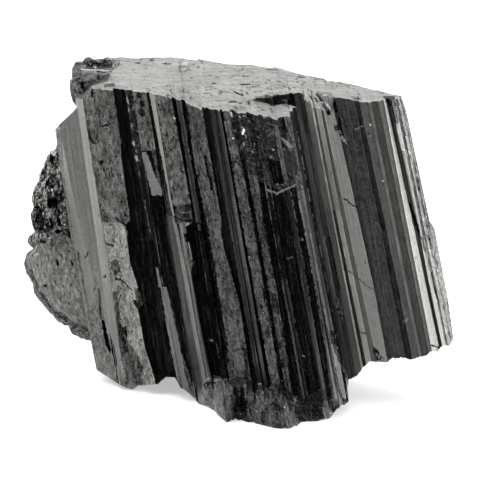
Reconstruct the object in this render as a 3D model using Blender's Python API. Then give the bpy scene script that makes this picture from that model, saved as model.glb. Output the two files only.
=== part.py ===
"""A broken crystal of black tourmaline (schorl), about 71 mm wide, resting on its broken foot.

The crystal is drawn on a page at six times size, in millimetres: x to the right, rows down the page
and depth away from the viewer, as it looks from 18 degrees above the horizon. On the page it stands
upright, with its striations vertical; place() then leans it to the left and puts it in space.
Everything grew together, so the body, the flank, the side lump and the two knobs become one solid.
"""

import math

import bmesh
import bpy
from mathutils import Vector, noise

# Driving dimensions
WIDTH = 0.071  # overall width of the specimen, in metres
DRAWN_WIDTH = 431.0  # the same width on the page
UNIT = WIDTH / DRAWN_WIDTH  # one page unit, in metres
TOP_HEIGHT = 325.0  # height of the flat top break above the floor
VIEW_TILT = math.radians(18.0)  # how far above the horizon the page looks from

FLOOR_ROW = 428.0  # row of the floor at depth 0
CENTRE_X, CENTRE_DEPTH = 237.5, 105.78  # page position of the origin, the middle of the whole
TOP_ROW, FOOT_ROW = 100.0, 400.0  # the rows that the two front outlines are drawn for
LEAN_ROW = 230.0  # the row that the lean leaves in place
LEAN_LEFT, LEAN_RIGHT = 0.138, 0.208  # sideways lean per row at the left and right faces
LEFT_X, RIGHT_X = 80.0, 430.0

# Outlines of the upright body, as (x, depth) along its front at the top break and at the foot
FRONT_TOP = (
    (94, 110), (101, 103), (134, 96), (165, 88), (178, 82), (203, 76), (221, 37), (242, 29),
    (295, 28), (303, 34), (312, 53), (318.1, 64), (318.4, 80), (327, 84), (345, 71), (368, 66),
    (417, 62), (424, 69), (434, 82),
)
FRONT_FOOT = (
    (94, 124), (101, 119), (114, 118), (124, 110), (134, 108), (146, 103), (146.6, 94), (153, 91),
    (154, 87), (167.5, 84), (168.5, 79), (178, 76), (203, 70), (221, 34), (242, 24), (262, 20),
    (290, 24), (303, 34), (312, 53), (317.6, 64), (318, 80), (327, 81), (336, 75), (345, 69), (385, 63),
    (417, 62), (424, 72), (434, 92),
)
# The broken lower edge, as (x, row) along the front
FOOT_EDGE = (
    (94, 384), (102, 388), (109, 390), (114, 386), (134, 384), (143, 377), (152, 377), (156, 388),
    (168, 399.5), (171, 403.5), (185, 410), (189, 416), (195, 421.5), (205, 419.5), (225, 423),
    (240, 427), (252, 428), (262, 425), (267, 421), (290, 420), (297, 416), (303, 409),
    (316, 402), (318, 390), (320, 380), (330, 375), (336, 368), (344, 361), (360, 362),
    (367, 359), (385, 359), (400, 355), (410, 352), (418, 347), (425, 345), (430, 338),
)
# Where the foot reaches the floor, as (x, share): there the broken crystal spreads forward, or draws
# back, from the faces above it until its edge lies on the floor
TOUCH = ((98, 0), (104, 1), (116, 1), (124, 0), (162, 0), (172, 1), (300, 1), (306, 0))
# The rows where the foot begins to spread out to the floor, and over how many rows it does
SPREAD_FROM = ((100, 368), (124, 368), (165, 383), (178, 388), (190, 382), (203, 380), (207, 374),
               (219, 372), (226, 393), (238, 387), (250, 385), (258, 398), (272, 401), (300, 397))
SPREAD_SPAN = 14

# The front faces from left to right: where each begins, as (row, x) down the page, how far its left
# and right sides stand proud of the outline, and how rough it is
FACES = (
    (((98, 94.5), (300, 94), (388, 97)), 2, 2, 0.0),
    (((98, 101.5), (290, 103), (388, 102)), 1, 4, 1.3),
    (((140, 134), (158, 132), (220, 131.5), (225, 126), (262, 125), (285, 129), (310, 126),
      (345, 127), (378, 132)), -4, -3, 0.0),
    (((88, 146), (400, 146)), -1, -3, 0.4),
    (((88, 153.5), (260, 153), (400, 158)), 1, 2, 0.8),
    (((88, 168), (190, 168), (240, 165), (300, 167.5), (385, 169.5)), -3, -1, 0.0),
    (((95, 170.5), (200, 173.5), (300, 176), (385, 178.5)), 0, 5, 0.0),
    (((95, 175.5), (200, 176), (240, 178.5), (385, 182)), 4, 4, 1.0),
    (((95, 192.5), (205, 195), (222, 194), (226, 186), (262, 188), (272, 184), (385, 187)),
     -5, -4, 0.0),
    (((95, 196.5), (385, 197)), -1, -2, 0.3),
    (((95, 202), (385, 203)), -5, -5, 0.0),
    (((105, 206), (170, 205), (230, 208), (345, 208), (378, 204)), 1, 5, 1.3),
    (((105, 222), (220, 223), (232, 220.5), (250, 221), (300, 227), (345, 226.5), (380, 226)),
     -3, -2, 0.0),
    (((110, 228.5), (300, 230), (380, 231)), 1, 2, 0.0),
    (((110, 235), (380, 235.5)), 0, 3, 0.0),
    (((110, 240), (380, 241)), -2, -2, 0.0),
    (((110, 242), (200, 242.5), (380, 244)), 3, 4, 1.0),
    (((110, 250), (200, 254), (380, 253.5)), -2, -2, 0.0),
    (((110, 257), (380, 257.5)), 2, 3, 1.2),
    (((110, 266), (170, 267), (220, 264), (295, 266), (380, 263)), -3, -2, 0.0),
    (((110, 271.5), (400, 272)), 0, 1, 0.3),
    (((110, 278), (400, 278)), -4, -3, 0.0),
    (((110, 291), (400, 291)), -1, 1, 0.0),
    (((110, 296.5), (400, 296.5)), -6, -1, 0.0),
    (((110, 302), (180, 303.5), (330, 304), (400, 300)), -1, 12, 0.9),
    (((110, 310.5), (400, 310)), -1, 6, 0.0),
    (((110, 314), (400, 315)), -4, 2, 0.0),
    (((110, 318.5), (400, 318.5)), 0, 2, 0.3),
    (((100, 327), (400, 328)), -1, 0, 0.0),
    (((100, 333.5), (400, 334.5)), 3, 3, 0.0),
    (((100, 336), (230, 336), (340, 337)), -2, 0, 0.0),
    (((100, 338), (230, 338.5), (340, 340)), 1, 2, 0.0),
    (((105, 343), (230, 344), (340, 346)), -1, -1, 0.0),
    (((105, 345), (230, 347.5), (345, 350.5)), 2, 3, 0.0),
    (((105, 356), (180, 359), (290, 362.5), (350, 362)), -1, -3, 0.4),
    (((105, 379.5), (358, 381)), -4, -4, 0.0),
    (((105, 383.5), (230, 385.5), (358, 386)), 0, 1, 0.0),
    (((105, 392.5), (358, 393)), 2, 2, 0.0),
    (((105, 395.5), (358, 396)), -1, -1, 0.0),
    (((105, 403), (358, 403)), 1, 1, 0.0),
    (((105, 408), (230, 407), (345, 406.5)), 2, -2, 0.0),
    (((105, 412), (180, 413), (345, 414.5)), -5, -4, 0.0),
    (((105, 417.5), (230, 419), (345, 418.5)), 1, 1, 0.0),
    (((105, 421.5), (345, 421.5)), 0, 0, 0.3),
)
RIGHT_END = ((95, 427), (110, 429.5), (220, 430.5), (228, 434), (300, 433), (345, 430))
WALL = 0.5  # width of the small riser between two faces that stand at different depths
ROUGH_SIZE = 14.0  # size of the hollows on a broken face

# The rows below which the faces end in broken lumps
FOOT_BREAK = ((172, 430), (173, 404), (178, 387), (190, 381), (203, 379), (207, 372), (219, 370),
              (226, 392), (238, 386), (250, 384), (258, 398), (272, 402), (301, 408), (303, 430))
# Rounded lumps broken out of the foot: middle, half width and half height, and how far they bulge
FOOT_LUMPS = (
    (189, 398, 16, 22, 7), (213, 400, 8, 24, -5), (232, 404, 14, 22, 5), (250, 410, 12, 22, 5),
    (272, 408, 11, 14, -2), (294, 408, 9, 13, 3), (112, 372, 11, 22, 3), (314, 384, 6, 20, 2),
)

# The hidden back, from left to right, as (x, depth at the top break, depth at the foot)
BACK = (
    (93, 138, 150), (94, 166, 178), (99, 189, 200), (116, 192, 207), (118, 196, 210),
    (146, 204, 216), (166, 198, 211), (169, 202, 214), (198, 203, 212), (224, 193, 203),
    (227, 197, 206), (256, 180, 193), (280, 178, 189), (300, 167, 180), (304, 171, 183),
    (330, 145, 163), (352, 132, 150), (355, 125, 146), (380, 113, 133), (400, 94, 118),
    (404, 95, 116), (416, 81, 106), (427, 75, 95),
)

# How far the front rim drops below the top break, as (x, drop). Behind it lies a shelf of the given
# width, and the rise back to the top break: a broken corner, a lower slab and a chipped edge.
RIM_DROP = ((94, 13), (101, 12), (108, 5), (112, 0), (181, 0), (190, 2.5), (200, 6), (211, 4),
            (222, 0.5), (253, 0), (256, 2.5), (266, 3), (275, 5), (290, 9), (296, 10.5), (303, 9),
            (318.1, 8), (318.4, 0), (326.6, 0), (327, 6), (335, 12), (345, 14), (352, 12),
            (357, 3), (360, 0), (363, 0), (373, 1.3), (382, 3.6), (394, 3), (404, 2), (408, 0),
            (416, 0.5), (424, 1.5), (430, 6))
SHELF_WIDTH = ((94, 1), (112, 3), (262, 10), (266, 25), (275, 34), (290, 45), (303, 40),
               (308, 29), (318.1, 18), (318.4, 1))
RISE_WIDTH = ((94, 35), (108, 30), (112, 2), (181, 2), (190, 22), (211, 22), (224, 2), (326, 2),
              (329, 14), (352, 16), (362, 6), (376, 14), (398, 14), (410, 4))

# Low steps across the top break: how far back each runs, as a share of its depth, and its height
TOP_STEPS = ((0.3, 1.0), (0.36, -0.6), (0.62, 0.8), (0.7, -1.0))

LEVELS = (0, 0.03, 0.08, 0.15, 0.23, 0.3, 0.37, 0.41, 0.48, 0.56, 0.64, 0.72, 0.8, 0.85, 0.88,
          0.91, 0.95, 1)

# The lower crystal on the left: its edges as (row, x) points, their depths at the top and the
# foot, and the rows where they start and end
FLANK_FRONT = (
    (((129, 68), (240, 69), (320, 73), (370, 76)), 140, 148, 129, 370),
    (((125, 73), (180, 76), (230, 80), (300, 88), (378, 90)), 128, 134, 124, 380),
    (((105, 96), (385, 98)), 111, 124, 106, 386),
)
FLANK_BACK = (
    (((100, 74), (386, 80)), 176, 178, 134, 352),
    (((100, 104), (386, 104)), 172, 178, 130, 352),
)
FLANK_LEVELS = (0, 0.15, 0.3, 0.45, 0.6, 0.75, 0.9, 1)

# Lumps as outlines on the page, (x, row), with the depth of their rim and how far they bulge
# to the front and to the back
SIDE_LUMP = dict(
    outline=((92, 107), (71, 128), (68, 146), (54, 163), (43, 181), (35, 200), (33, 224), (26, 238),
             (25, 250), (18, 262), (20, 278), (25, 294), (34, 311), (48, 328), (60, 334), (76, 343),
             (100, 332), (118, 250), (114, 150)),
    rim=178, front=34, back=30, rings=5, rough=4.0,
)
CORNER_KNOB = dict(
    outline=((90, 82), (94, 77), (98, 75), (99, 68), (107, 66), (128, 68), (134, 74), (124, 92),
             (108, 104), (94, 106), (90, 98)),
    rim=146, front=38, back=42, rings=3, rough=2.0,
)
BACK_KNOB = dict(
    outline=((107, 64), (110, 58), (118, 56), (127, 58), (135, 56), (139, 62), (136, 70), (112, 72)),
    rim=188, front=10, back=10, rings=2, rough=1.5,
)


def along(table, at):
    """The value that a table of (position, value) pairs gives at a position."""
    if at <= table[0][0]:
        return table[0][1]
    for (x0, y0), (x1, y1) in zip(table, table[1:]):
        if at <= x1:
            return y0 + (y1 - y0) * (at - x0) / (x1 - x0)
    return table[-1][1]


def mix(a, b, share):
    return a + (b - a) * share


def place(x, row, depth):
    """The point in space of an upright page position, never below the floor."""
    height = (FLOOR_ROW - row - depth * math.sin(VIEW_TILT)) / math.cos(VIEW_TILT)
    lean = mix(LEAN_LEFT, LEAN_RIGHT, (x - LEFT_X) / (RIGHT_X - LEFT_X))
    across = x + lean * (row - LEAN_ROW) - CENTRE_X
    return Vector((across, depth - CENTRE_DEPTH, max(height, 0.0))) * UNIT


def row_of(height, depth):
    return FLOOR_ROW - height * math.cos(VIEW_TILT) - depth * math.sin(VIEW_TILT)


def hollow(x, row, seed):
    """Gentle hollows of a broken face, between -1 and 1 or so."""
    return noise.noise(Vector((x / ROUGH_SIZE, row / ROUGH_SIZE, seed))) * 2


def face_depth(x, row):
    """Depth of the front outline, blended from the top break to the foot."""
    return mix(along(FRONT_TOP, x), along(FRONT_FOOT, x), (row - TOP_ROW) / (FOOT_ROW - TOP_ROW))


def front_depth(x, row):
    """Depth of the front outline with its foot spread out to the floor."""
    floor_depth = (FLOOR_ROW - along(FOOT_EDGE, x)) / math.sin(VIEW_TILT)
    spread = along(TOUCH, x) * (floor_depth - face_depth(x, along(FOOT_EDGE, x)))
    share = min(max((row - along(SPREAD_FROM, x)) / SPREAD_SPAN, 0), 1)
    return face_depth(x, row) + spread * share * share * (3 - 2 * share)


def foot_swell(x, row):
    """How far the rounded lumps of the foot stand out."""
    out = 0
    for at, middle, wide, high, bulge in FOOT_LUMPS:
        away = ((x - at) / wide) ** 2 + ((row - middle) / high) ** 2
        out += bulge * math.sqrt(max(1 - away, 0))
    return out


def front_column(edge, offset, proud, rough, seed):
    """Points down one edge of a front face, from the top break to the foot."""
    x_top, x_foot = edge[0][1] + offset, edge[-1][1] + offset
    top_height = TOP_HEIGHT - along(RIM_DROP, x_top)
    top_row = row_of(top_height, front_depth(x_top, TOP_ROW) - proud)
    foot_row = along(FOOT_EDGE, x_foot)
    points = []
    for level in LEVELS:
        row = mix(top_row, foot_row, level)
        x = along(edge, row) + offset
        broken = min(max((row - along(FOOT_BREAK, x) + 5) / 10, 0), 1)
        relief = proud * (1 - broken) + foot_swell(x, row)
        if level > 0:
            relief -= rough * hollow(x, row, seed)
        if level == 1:
            relief = 0  # the foot keeps to the outline, so that it lies on the floor
        points.append((x, row, front_depth(x, row) - relief))
    return points


def front_columns():
    """The edges of all front faces, with a riser wherever two neighbours differ in depth."""
    columns = []
    last_proud, last_rough = None, 0
    for number, (edge, left, right, rough) in enumerate(FACES):
        if last_proud is not None and last_proud != left:
            columns.append(front_column(edge, -WALL, last_proud, last_rough, number))
        columns.append(front_column(edge, 0, left, rough, number + 0.5))
        last_proud, last_rough = right, rough
    columns.append(front_column(RIGHT_END, 0, last_proud, 0, 0))
    return columns


def foot_height(x):
    """How high the broken foot stands over the floor at x, the same from front to back."""
    row = along(FOOT_EDGE, x)
    depth = front_depth(x, row)
    return max((FLOOR_ROW - row - depth * math.sin(VIEW_TILT)) / math.cos(VIEW_TILT), 0)


def back_columns():
    columns = []
    for x, top, foot in BACK:
        top_row, foot_row = row_of(TOP_HEIGHT, top), row_of(foot_height(x), foot)
        columns.append(
            [(x, mix(top_row, foot_row, level), mix(top, foot, level)) for level in LEVELS]
        )
    return columns


def free_columns(edges, levels):
    """Columns of a small crystal from (edge, top depth, foot depth, top row, foot row)."""
    columns = []
    for edge, top, foot, top_row, foot_row in edges:
        rows = [mix(top_row, foot_row, level) for level in levels]
        columns.append(
            [(along(edge, row), row, mix(top, foot, level)) for row, level in zip(rows, levels)]
        )
    return columns


def add_columns(mesh, columns):
    return [[mesh.verts.new(place(*point)) for point in column] for column in columns]


def skin(mesh, ring):
    """Side faces between neighbouring columns of a closed ring."""
    for left, right in zip(ring, ring[1:] + ring[:1]):
        for above, below in zip(range(len(left) - 1), range(1, len(left))):
            mesh.faces.new((left[above], left[below], right[below], right[above]))


def zip_chains(mesh, front, back, upward):
    """Triangles between two chains of vertices that both run from left to right."""
    f = b = 0
    while f < len(front) - 1 or b < len(back) - 1:
        step_front = b == len(back) - 1 or (
            f < len(front) - 1 and front[f + 1].co.x < back[b + 1].co.x
        )
        third = front[f + 1] if step_front else back[b + 1]
        corners = (front[f], third, back[b])
        mesh.faces.new(corners if upward else corners[::-1])
        f, b = (f + 1, b) if step_front else (f, b + 1)


def top_chains(mesh, front):
    """Lines of vertices across the top behind the front rim: the shelf, its rise and the low steps."""
    chains = [[], []] + [[] for _ in TOP_STEPS]
    for column in front:
        x, _, rim = column[0]
        back = max(along([(x, top) for x, top, _ in BACK], x), rim)
        shelf = min(rim + along(SHELF_WIDTH, x), mix(rim, back, 0.5))
        rise = min(shelf + along(RISE_WIDTH, x), mix(rim, back, 0.8))
        points = [(shelf, TOP_HEIGHT - along(RIM_DROP, x)), (rise, TOP_HEIGHT)]
        calm = min(max(back - rise, 0) / 60, 1)  # no steps where the top narrows to its right end
        for share, step in TOP_STEPS:
            depth = mix(rise, back, share)
            points.append((depth, TOP_HEIGHT + calm * step * hollow(x / 3, depth, share)))
        for chain, (depth, height) in zip(chains, points):
            chain.append(mesh.verts.new(place(x, row_of(height, depth), depth)))
    return chains


def add_body(mesh):
    """The main crystal, with its lower slab and chipped edges along the front of the top break."""
    front, back = front_columns(), back_columns()
    front_verts, back_verts = add_columns(mesh, front), add_columns(mesh, back)
    skin(mesh, front_verts + back_verts[::-1])
    rims = [[verts[0] for verts in front_verts]] + top_chains(mesh, front)
    for outer, inner in zip(rims, rims[1:]):
        for k in range(len(outer) - 1):
            mesh.faces.new((outer[k], outer[k + 1], inner[k + 1], inner[k]))
    back_rim = [verts[0] for verts in back_verts]
    # The shelf's two ends close against the back rim's end corners.
    for end, corner in ((0, back_rim[0]), (-1, back_rim[-1])):
        for outer, inner in zip(rims, rims[1:]):
            corners = (outer[end], inner[end], corner)
            mesh.faces.new(corners if end == 0 else corners[::-1])
    zip_chains(mesh, rims[-1], back_rim, upward=True)
    zip_chains(mesh, [v[-1] for v in front_verts], [v[-1] for v in back_verts], upward=False)


def add_flank(mesh):
    front = add_columns(mesh, free_columns(FLANK_FRONT, FLANK_LEVELS))
    back = add_columns(mesh, free_columns(FLANK_BACK, FLANK_LEVELS))
    skin(mesh, front + back[::-1])
    zip_chains(mesh, [v[0] for v in front], [v[0] for v in back], upward=True)
    zip_chains(mesh, [v[-1] for v in front], [v[-1] for v in back], upward=False)


def add_lump(mesh, outline, rim, front, back, rings, rough):
    """A rough pebble: its outline on the page, crowned to the front and to the back."""
    middle_x = sum(x for x, _ in outline) / len(outline)
    middle_row = sum(row for _, row in outline) / len(outline)

    def ring(share, bulge):
        crown = bulge * math.sqrt(1 - share * share)
        verts = []
        for x, row in outline:
            x, row = mix(middle_x, x, share), mix(middle_row, row, share)
            wave = rough * hollow(x, row, rim + bulge) if share < 1 else 0
            verts.append(mesh.verts.new(place(x, row, rim + crown + wave)))
        return verts

    def crown_faces(bulge, turned):
        chains = [shared] + [ring(1 - k / rings, bulge) for k in range(1, rings)]
        tip = mesh.verts.new(place(middle_x, middle_row, rim + bulge))
        for outer, inner in zip(chains, chains[1:]):
            for k in range(len(outline)):
                n = (k + 1) % len(outline)
                corners = (outer[k], outer[n], inner[n], inner[k])
                mesh.faces.new(corners[::-1] if turned else corners)
        for k in range(len(outline)):
            corners = (chains[-1][k], chains[-1][(k + 1) % len(outline)], tip)
            mesh.faces.new(corners[::-1] if turned else corners)

    shared = ring(1, 0)
    crown_faces(-front, False)
    crown_faces(back, True)


def solid(name, build, *shape, **sizes):
    """An object from a function that adds closed faces to a mesh."""
    mesh = bmesh.new()
    build(mesh, *shape, **sizes)
    bmesh.ops.triangulate(mesh, faces=mesh.faces[:])
    bmesh.ops.recalc_face_normals(mesh, faces=mesh.faces[:])
    data = bpy.data.meshes.new(name)
    mesh.to_mesh(data)
    mesh.free()
    made = bpy.data.objects.new(name, data)
    bpy.context.scene.collection.objects.link(made)
    return made


def schorl():
    """Black tourmaline: nearly black, with a glassy to dull lustre."""
    material = bpy.data.materials.new("schorl")
    material.use_nodes = True
    shader = material.node_tree.nodes["Principled BSDF"]
    shader.inputs["Base Color"].default_value = (0.04, 0.041, 0.042, 1)
    shader.inputs["Roughness"].default_value = 0.4
    shader.inputs["Metallic"].default_value = 0.0
    shader.inputs["IOR"].default_value = 1.64
    return material


def join_to(crystal, other):
    """A Boolean union, with the joined solid kept as a hidden helper."""
    other.hide_render = True
    other.display_type = "WIRE"
    union = crystal.modifiers.new("with " + other.name, "BOOLEAN")
    union.operation = "UNION"
    union.solver = "EXACT"
    union.object = other


def main():
    for old in list(bpy.data.objects):
        bpy.data.objects.remove(old)
    crystal = solid("crystal", add_body)
    join_to(crystal, solid("flank", add_flank))
    join_to(crystal, solid("side_lump", add_lump, **SIDE_LUMP))
    join_to(crystal, solid("corner_knob", add_lump, **CORNER_KNOB))
    join_to(crystal, solid("back_knob", add_lump, **BACK_KNOB))
    crystal.data.materials.append(schorl())


main()
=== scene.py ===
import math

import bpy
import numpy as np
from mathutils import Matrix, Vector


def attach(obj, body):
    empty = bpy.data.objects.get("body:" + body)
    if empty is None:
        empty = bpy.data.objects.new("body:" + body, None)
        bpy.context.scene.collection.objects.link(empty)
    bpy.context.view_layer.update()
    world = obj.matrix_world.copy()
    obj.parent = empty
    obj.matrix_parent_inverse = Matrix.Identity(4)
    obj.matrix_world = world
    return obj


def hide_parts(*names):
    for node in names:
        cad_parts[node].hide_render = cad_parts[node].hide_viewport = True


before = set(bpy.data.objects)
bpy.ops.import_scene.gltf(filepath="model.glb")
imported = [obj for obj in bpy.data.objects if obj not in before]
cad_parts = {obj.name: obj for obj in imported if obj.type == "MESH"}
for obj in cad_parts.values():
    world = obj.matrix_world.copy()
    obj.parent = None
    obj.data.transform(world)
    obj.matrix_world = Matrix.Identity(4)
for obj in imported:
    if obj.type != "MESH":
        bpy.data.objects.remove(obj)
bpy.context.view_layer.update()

# The looks of a broken crystal of black tourmaline: fine meshes, materials, light and camera.
#
# The crystal is drawn on a page at six times size, in millimetres: x to the right, rows down the page
# and depth away from the viewer, as it looks from 18 degrees above the horizon. On the page it stands
# upright, with its striations vertical; place() leans it to the left and puts it in space. The tables
# repeat those of the solid, so the fine meshes lie on it, and they add each face's finish. Shades are
# how much light a surface gives back, in per cent. The schorl is black, so its grey and bright shades
# are partly painted reflection of the studio; the render's own gloss gives the rest.

# The page
WIDTH = 0.071  # overall width of the specimen, in metres
DRAWN_WIDTH = 431.0  # the same width on the page
UNIT = WIDTH / DRAWN_WIDTH  # one page unit, in metres
TOP_HEIGHT = 325.0  # height of the flat top break above the floor
VIEW_TILT = math.radians(18.0)  # how far above the horizon the page looks from
PAGE_SIDE = 480.0  # the page is square
FLOOR_ROW = 428.0  # row of the floor at depth 0
CENTRE_X, CENTRE_DEPTH = 237.5, 105.78  # page position of the origin, the middle of the whole
TOP_ROW, FOOT_ROW = 100.0, 400.0  # the rows that the two front outlines are drawn for
LEAN_ROW = 230.0  # the row that the lean leaves in place
LEAN_LEFT, LEAN_RIGHT = 0.138, 0.208  # sideways lean per row at the left and right faces
LEFT_X, RIGHT_X = 80.0, 430.0

# Fineness of the meshes, in page units
FRONT_STEP, BACK_STEP, FLANK_STEP, FLANK_BACK_STEP = 0.72, 1.8, 0.75, 10
BODY_LEVELS, FLANK_LEVELS = 360, 300
OVAL_SIDES = 12
WALL = 0.5  # width of the small riser between two faces that stand at different depths

# Outlines of the upright body, as (x, depth) along its front at the top break and at the foot
FRONT_TOP = (
    (94, 110), (101, 103), (134, 96), (165, 88), (178, 82), (203, 76), (221, 37), (242, 29),
    (295, 28), (303, 34), (312, 53), (318.1, 64), (318.4, 80), (327, 84), (345, 71), (368, 66),
    (417, 62), (424, 69), (434, 82),
)
FRONT_FOOT = (
    (94, 124), (101, 119), (114, 118), (124, 110), (134, 108), (146, 103), (146.6, 94), (153, 91),
    (154, 87), (167.5, 84), (168.5, 79), (178, 76), (203, 70), (221, 34), (242, 24), (262, 20),
    (290, 24), (303, 34), (312, 53), (317.6, 64), (318, 80), (327, 81), (336, 75), (345, 69), (385, 63),
    (417, 62), (424, 72), (434, 92),
)
FOOT_EDGE = (
    (94, 384), (102, 388), (109, 390), (114, 386), (134, 384), (143, 377), (152, 377), (156, 388),
    (168, 399.5), (171, 403.5), (185, 410), (189, 416), (195, 421.5), (205, 419.5), (225, 423),
    (240, 427), (252, 428), (262, 425), (267, 421), (290, 420), (297, 416), (303, 409),
    (316, 402), (318, 390), (320, 380), (330, 375), (336, 368), (344, 361), (360, 362),
    (367, 359), (385, 359), (400, 355), (410, 352), (418, 347), (425, 345), (430, 338),
)
TOUCH = ((98, 0), (104, 1), (116, 1), (124, 0), (162, 0), (172, 1), (300, 1), (306, 0))
# The rows where the foot begins to spread out to the floor, and over how many rows it does
SPREAD_FROM = ((100, 368), (124, 368), (165, 383), (178, 388), (190, 382), (203, 380), (207, 374),
               (219, 372), (226, 393), (238, 387), (250, 385), (258, 398), (272, 401), (300, 397))
SPREAD_SPAN = 14

# The finishes, in the order of the material slots
GLOSS, SHEEN, ROUGH, LINES, GRAIN, BREAK = range(6)

END = 430  # a row below the foot
GROOVE = ((END, GLOSS, 0.25),)  # the look of a narrow black channel, from top to foot
RIGHT_PART = 330  # the x where the less broken right part begins

# The front faces from left to right: where each begins, as (row, x) down the page, how far its left
# and right sides stand proud of the outline, and its finishes from the top down, as (last row,
# finish, shade). The grey and bright shades are partly painted reflection of the studio.
FACES = (
    (((98, 94.5), (300, 94), (388, 97)), 2, 2,
     ((230, SHEEN, 19), (280, SHEEN, 17.6), (320, SHEEN, 16), (END, SHEEN, 14.5))),
    (((98, 101.5), (290, 103), (388, 102)), 1, 4, ((222, ROUGH, 9.2), (END, ROUGH, 19.5))),
    (((140, 134), (158, 132), (220, 131.5), (225, 126), (262, 125), (285, 129), (310, 126),
      (345, 127), (378, 132)), -4, -3, GROOVE),
    (((88, 146), (400, 146)), -1, -3, ((165, GRAIN, 2), (240, LINES, 1), (END, GLOSS, 0.25))),
    (((88, 153.5), (260, 153), (400, 158)), 1, 2, ((150, ROUGH, 8), (END, GLOSS, 0.15))),
    (((88, 168), (190, 168), (240, 165), (300, 167.5), (385, 169.5)), -3, -1,
     ((215, GLOSS, 1), (END, SHEEN, 4.4))),
    (((95, 170.5), (200, 173.5), (300, 176), (385, 178.5)), 0, 5,
     ((215, SHEEN, 20), (END, SHEEN, 11.4))),
    (((95, 175.5), (200, 176), (240, 178.5), (385, 182)), 4, 4,
     ((205, ROUGH, 8.4), (222, ROUGH, 4.5), (END, LINES, 9.6))),
    (((95, 192.5), (205, 195), (222, 194), (226, 186), (262, 188), (272, 184), (385, 187)), -5, -4,
     GROOVE),
    (((95, 196.5), (385, 197)), -1, -2, ((222, LINES, 4), (END, GLOSS, 0.25))),
    (((95, 202), (385, 203)), -5, -5, ((END, GLOSS, 0.3),)),
    (((105, 206), (170, 205), (230, 208), (345, 208), (378, 204)), 1, 5, ((END, ROUGH, 4.2),)),
    (((105, 222), (220, 223), (232, 220.5), (250, 221), (300, 227), (345, 226.5), (380, 226)),
     -3, -2, GROOVE),
    (((110, 228.5), (300, 230), (380, 231)), 1, 2, ((END, LINES, 1.1),)),
    (((110, 235), (380, 235.5)), 0, 3, ((195, LINES, 1.3), (280, SHEEN, 3), (END, LINES, 0.9))),
    (((110, 240), (380, 241)), -2, -2, GROOVE),
    (((110, 242), (200, 242.5), (380, 244)), 3, 4, ((END, ROUGH, 5.2),)),
    (((110, 250), (200, 254), (380, 253.5)), -2, -2, GROOVE),
    (((110, 257), (380, 257.5)), 2, 3, ((END, ROUGH, 4.2),)),
    (((110, 266), (170, 267), (220, 264), (295, 266), (380, 263)), -3, -2, GROOVE),
    (((110, 271.5), (400, 272)), 0, 1, ((280, GLOSS, 0.4), (END, LINES, 1.2))),
    (((110, 278), (400, 278)), -4, -3, GROOVE),
    (((110, 291), (400, 291)), -1, 1, ((190, ROUGH, 2.4), (END, LINES, 1))),
    (((110, 296.5), (400, 296.5)), -6, -1, ((186, ROUGH, 2), (END, GLOSS, 0.3))),
    (((110, 302), (180, 303.5), (330, 304), (400, 300)), -1, 12, ((190, ROUGH, 5), (END, LINES, 8))),
    (((110, 310.5), (400, 310)), -1, 6, ((330, LINES, 4.6), (END, ROUGH, 4))),
    (((110, 314), (400, 315)), -4, 2, ((230, GLOSS, 0.4), (END, LINES, 0.9))),
    (((110, 318.5), (400, 318.5)), 0, 2, ((END, LINES, 2.5),)),
    (((100, 327), (400, 328)), -1, 0, ((210, SHEEN, 17), (END, SHEEN, 13.5))),
    # painted reflection, in part: the light shades of these narrow faces stand partly for the studio
    # mirrored in them
    (((100, 333.5), (400, 334.5)), 3, 3, ((END, SHEEN, 32),)),
    (((100, 336), (230, 336), (340, 337)), -2, 0, ((210, SHEEN, 20), (END, SHEEN, 6))),
    (((100, 338), (230, 338.5), (340, 340)), 1, 2, ((210, SHEEN, 25), (END, SHEEN, 31))),
    (((105, 343), (230, 344), (340, 346)), -1, -1, ((END, SHEEN, 11),)),
    (((105, 345), (230, 347.5), (345, 350.5)), 2, 3, ((END, SHEEN, 18),)),
    (((105, 356), (180, 359), (290, 362.5), (350, 362)), -1, -3, ((END, SHEEN, 3.1),)),
    (((105, 379.5), (358, 381)), -4, -4, ((END, SHEEN, 1.8),)),
    (((105, 383.5), (230, 385.5), (358, 386)), 0, 1, ((END, SHEEN, 6.5),)),
    (((105, 392.5), (358, 393)), 2, 2, ((END, SHEEN, 9),)),
    (((105, 395.5), (358, 396)), -1, -1, ((END, SHEEN, 5),)),
    (((105, 403), (358, 403)), 1, 1, ((END, SHEEN, 10),)),
    # painted reflection: the bright stripe of this face stands for the light on the right, mirrored in it
    (((105, 408.3), (230, 407.3), (345, 406.7)), 2, -2, ((END, SHEEN, 44),)),
    (((105, 411.4), (180, 412.6), (230, 413.8), (345, 414.8)), -5, -4, ((END, LINES, 5.2),)),
    (((105, 415.4), (190, 417), (230, 418), (280, 417.3), (345, 417.8)), 1, 1,
     ((150, SHEEN, 21), (240, LINES, 10), (END, SHEEN, 18))),
    (((105, 420.7), (345, 421)), -1, -1, ((240, ROUGH, 11), (END, ROUGH, 17))),
    (((105, 423.2), (345, 423.4)), 0.5, 0.5, ((240, ROUGH, 14), (END, ROUGH, 18))),
    (((95, 424.6), (112, 425.2), (345, 425.4)), -1, -1,
     ((160, ROUGH, 15), (240, ROUGH, 8), (END, ROUGH, 20))),
    (((95, 426.2), (112, 427.4), (345, 428)), 0, 0, ((240, ROUGH, 10), (END, ROUGH, 14))),
)
RIGHT_END = ((95, 427), (110, 429.5), (220, 430.5), (228, 434), (300, 433), (345, 430))

# The hidden back, from left to right, as (x, depth at the top break, depth at the foot)
BACK = (
    (93, 138, 150), (94, 166, 178), (99, 189, 200), (116, 192, 207), (118, 196, 210),
    (146, 204, 216), (166, 198, 211), (169, 202, 214), (198, 203, 212), (224, 193, 203),
    (227, 197, 206), (256, 180, 193), (280, 178, 189), (300, 167, 180), (304, 171, 183),
    (330, 145, 163), (352, 132, 150), (355, 125, 146), (380, 113, 133), (400, 94, 118),
    (404, 95, 116), (416, 81, 106), (427, 75, 95),
)
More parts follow.
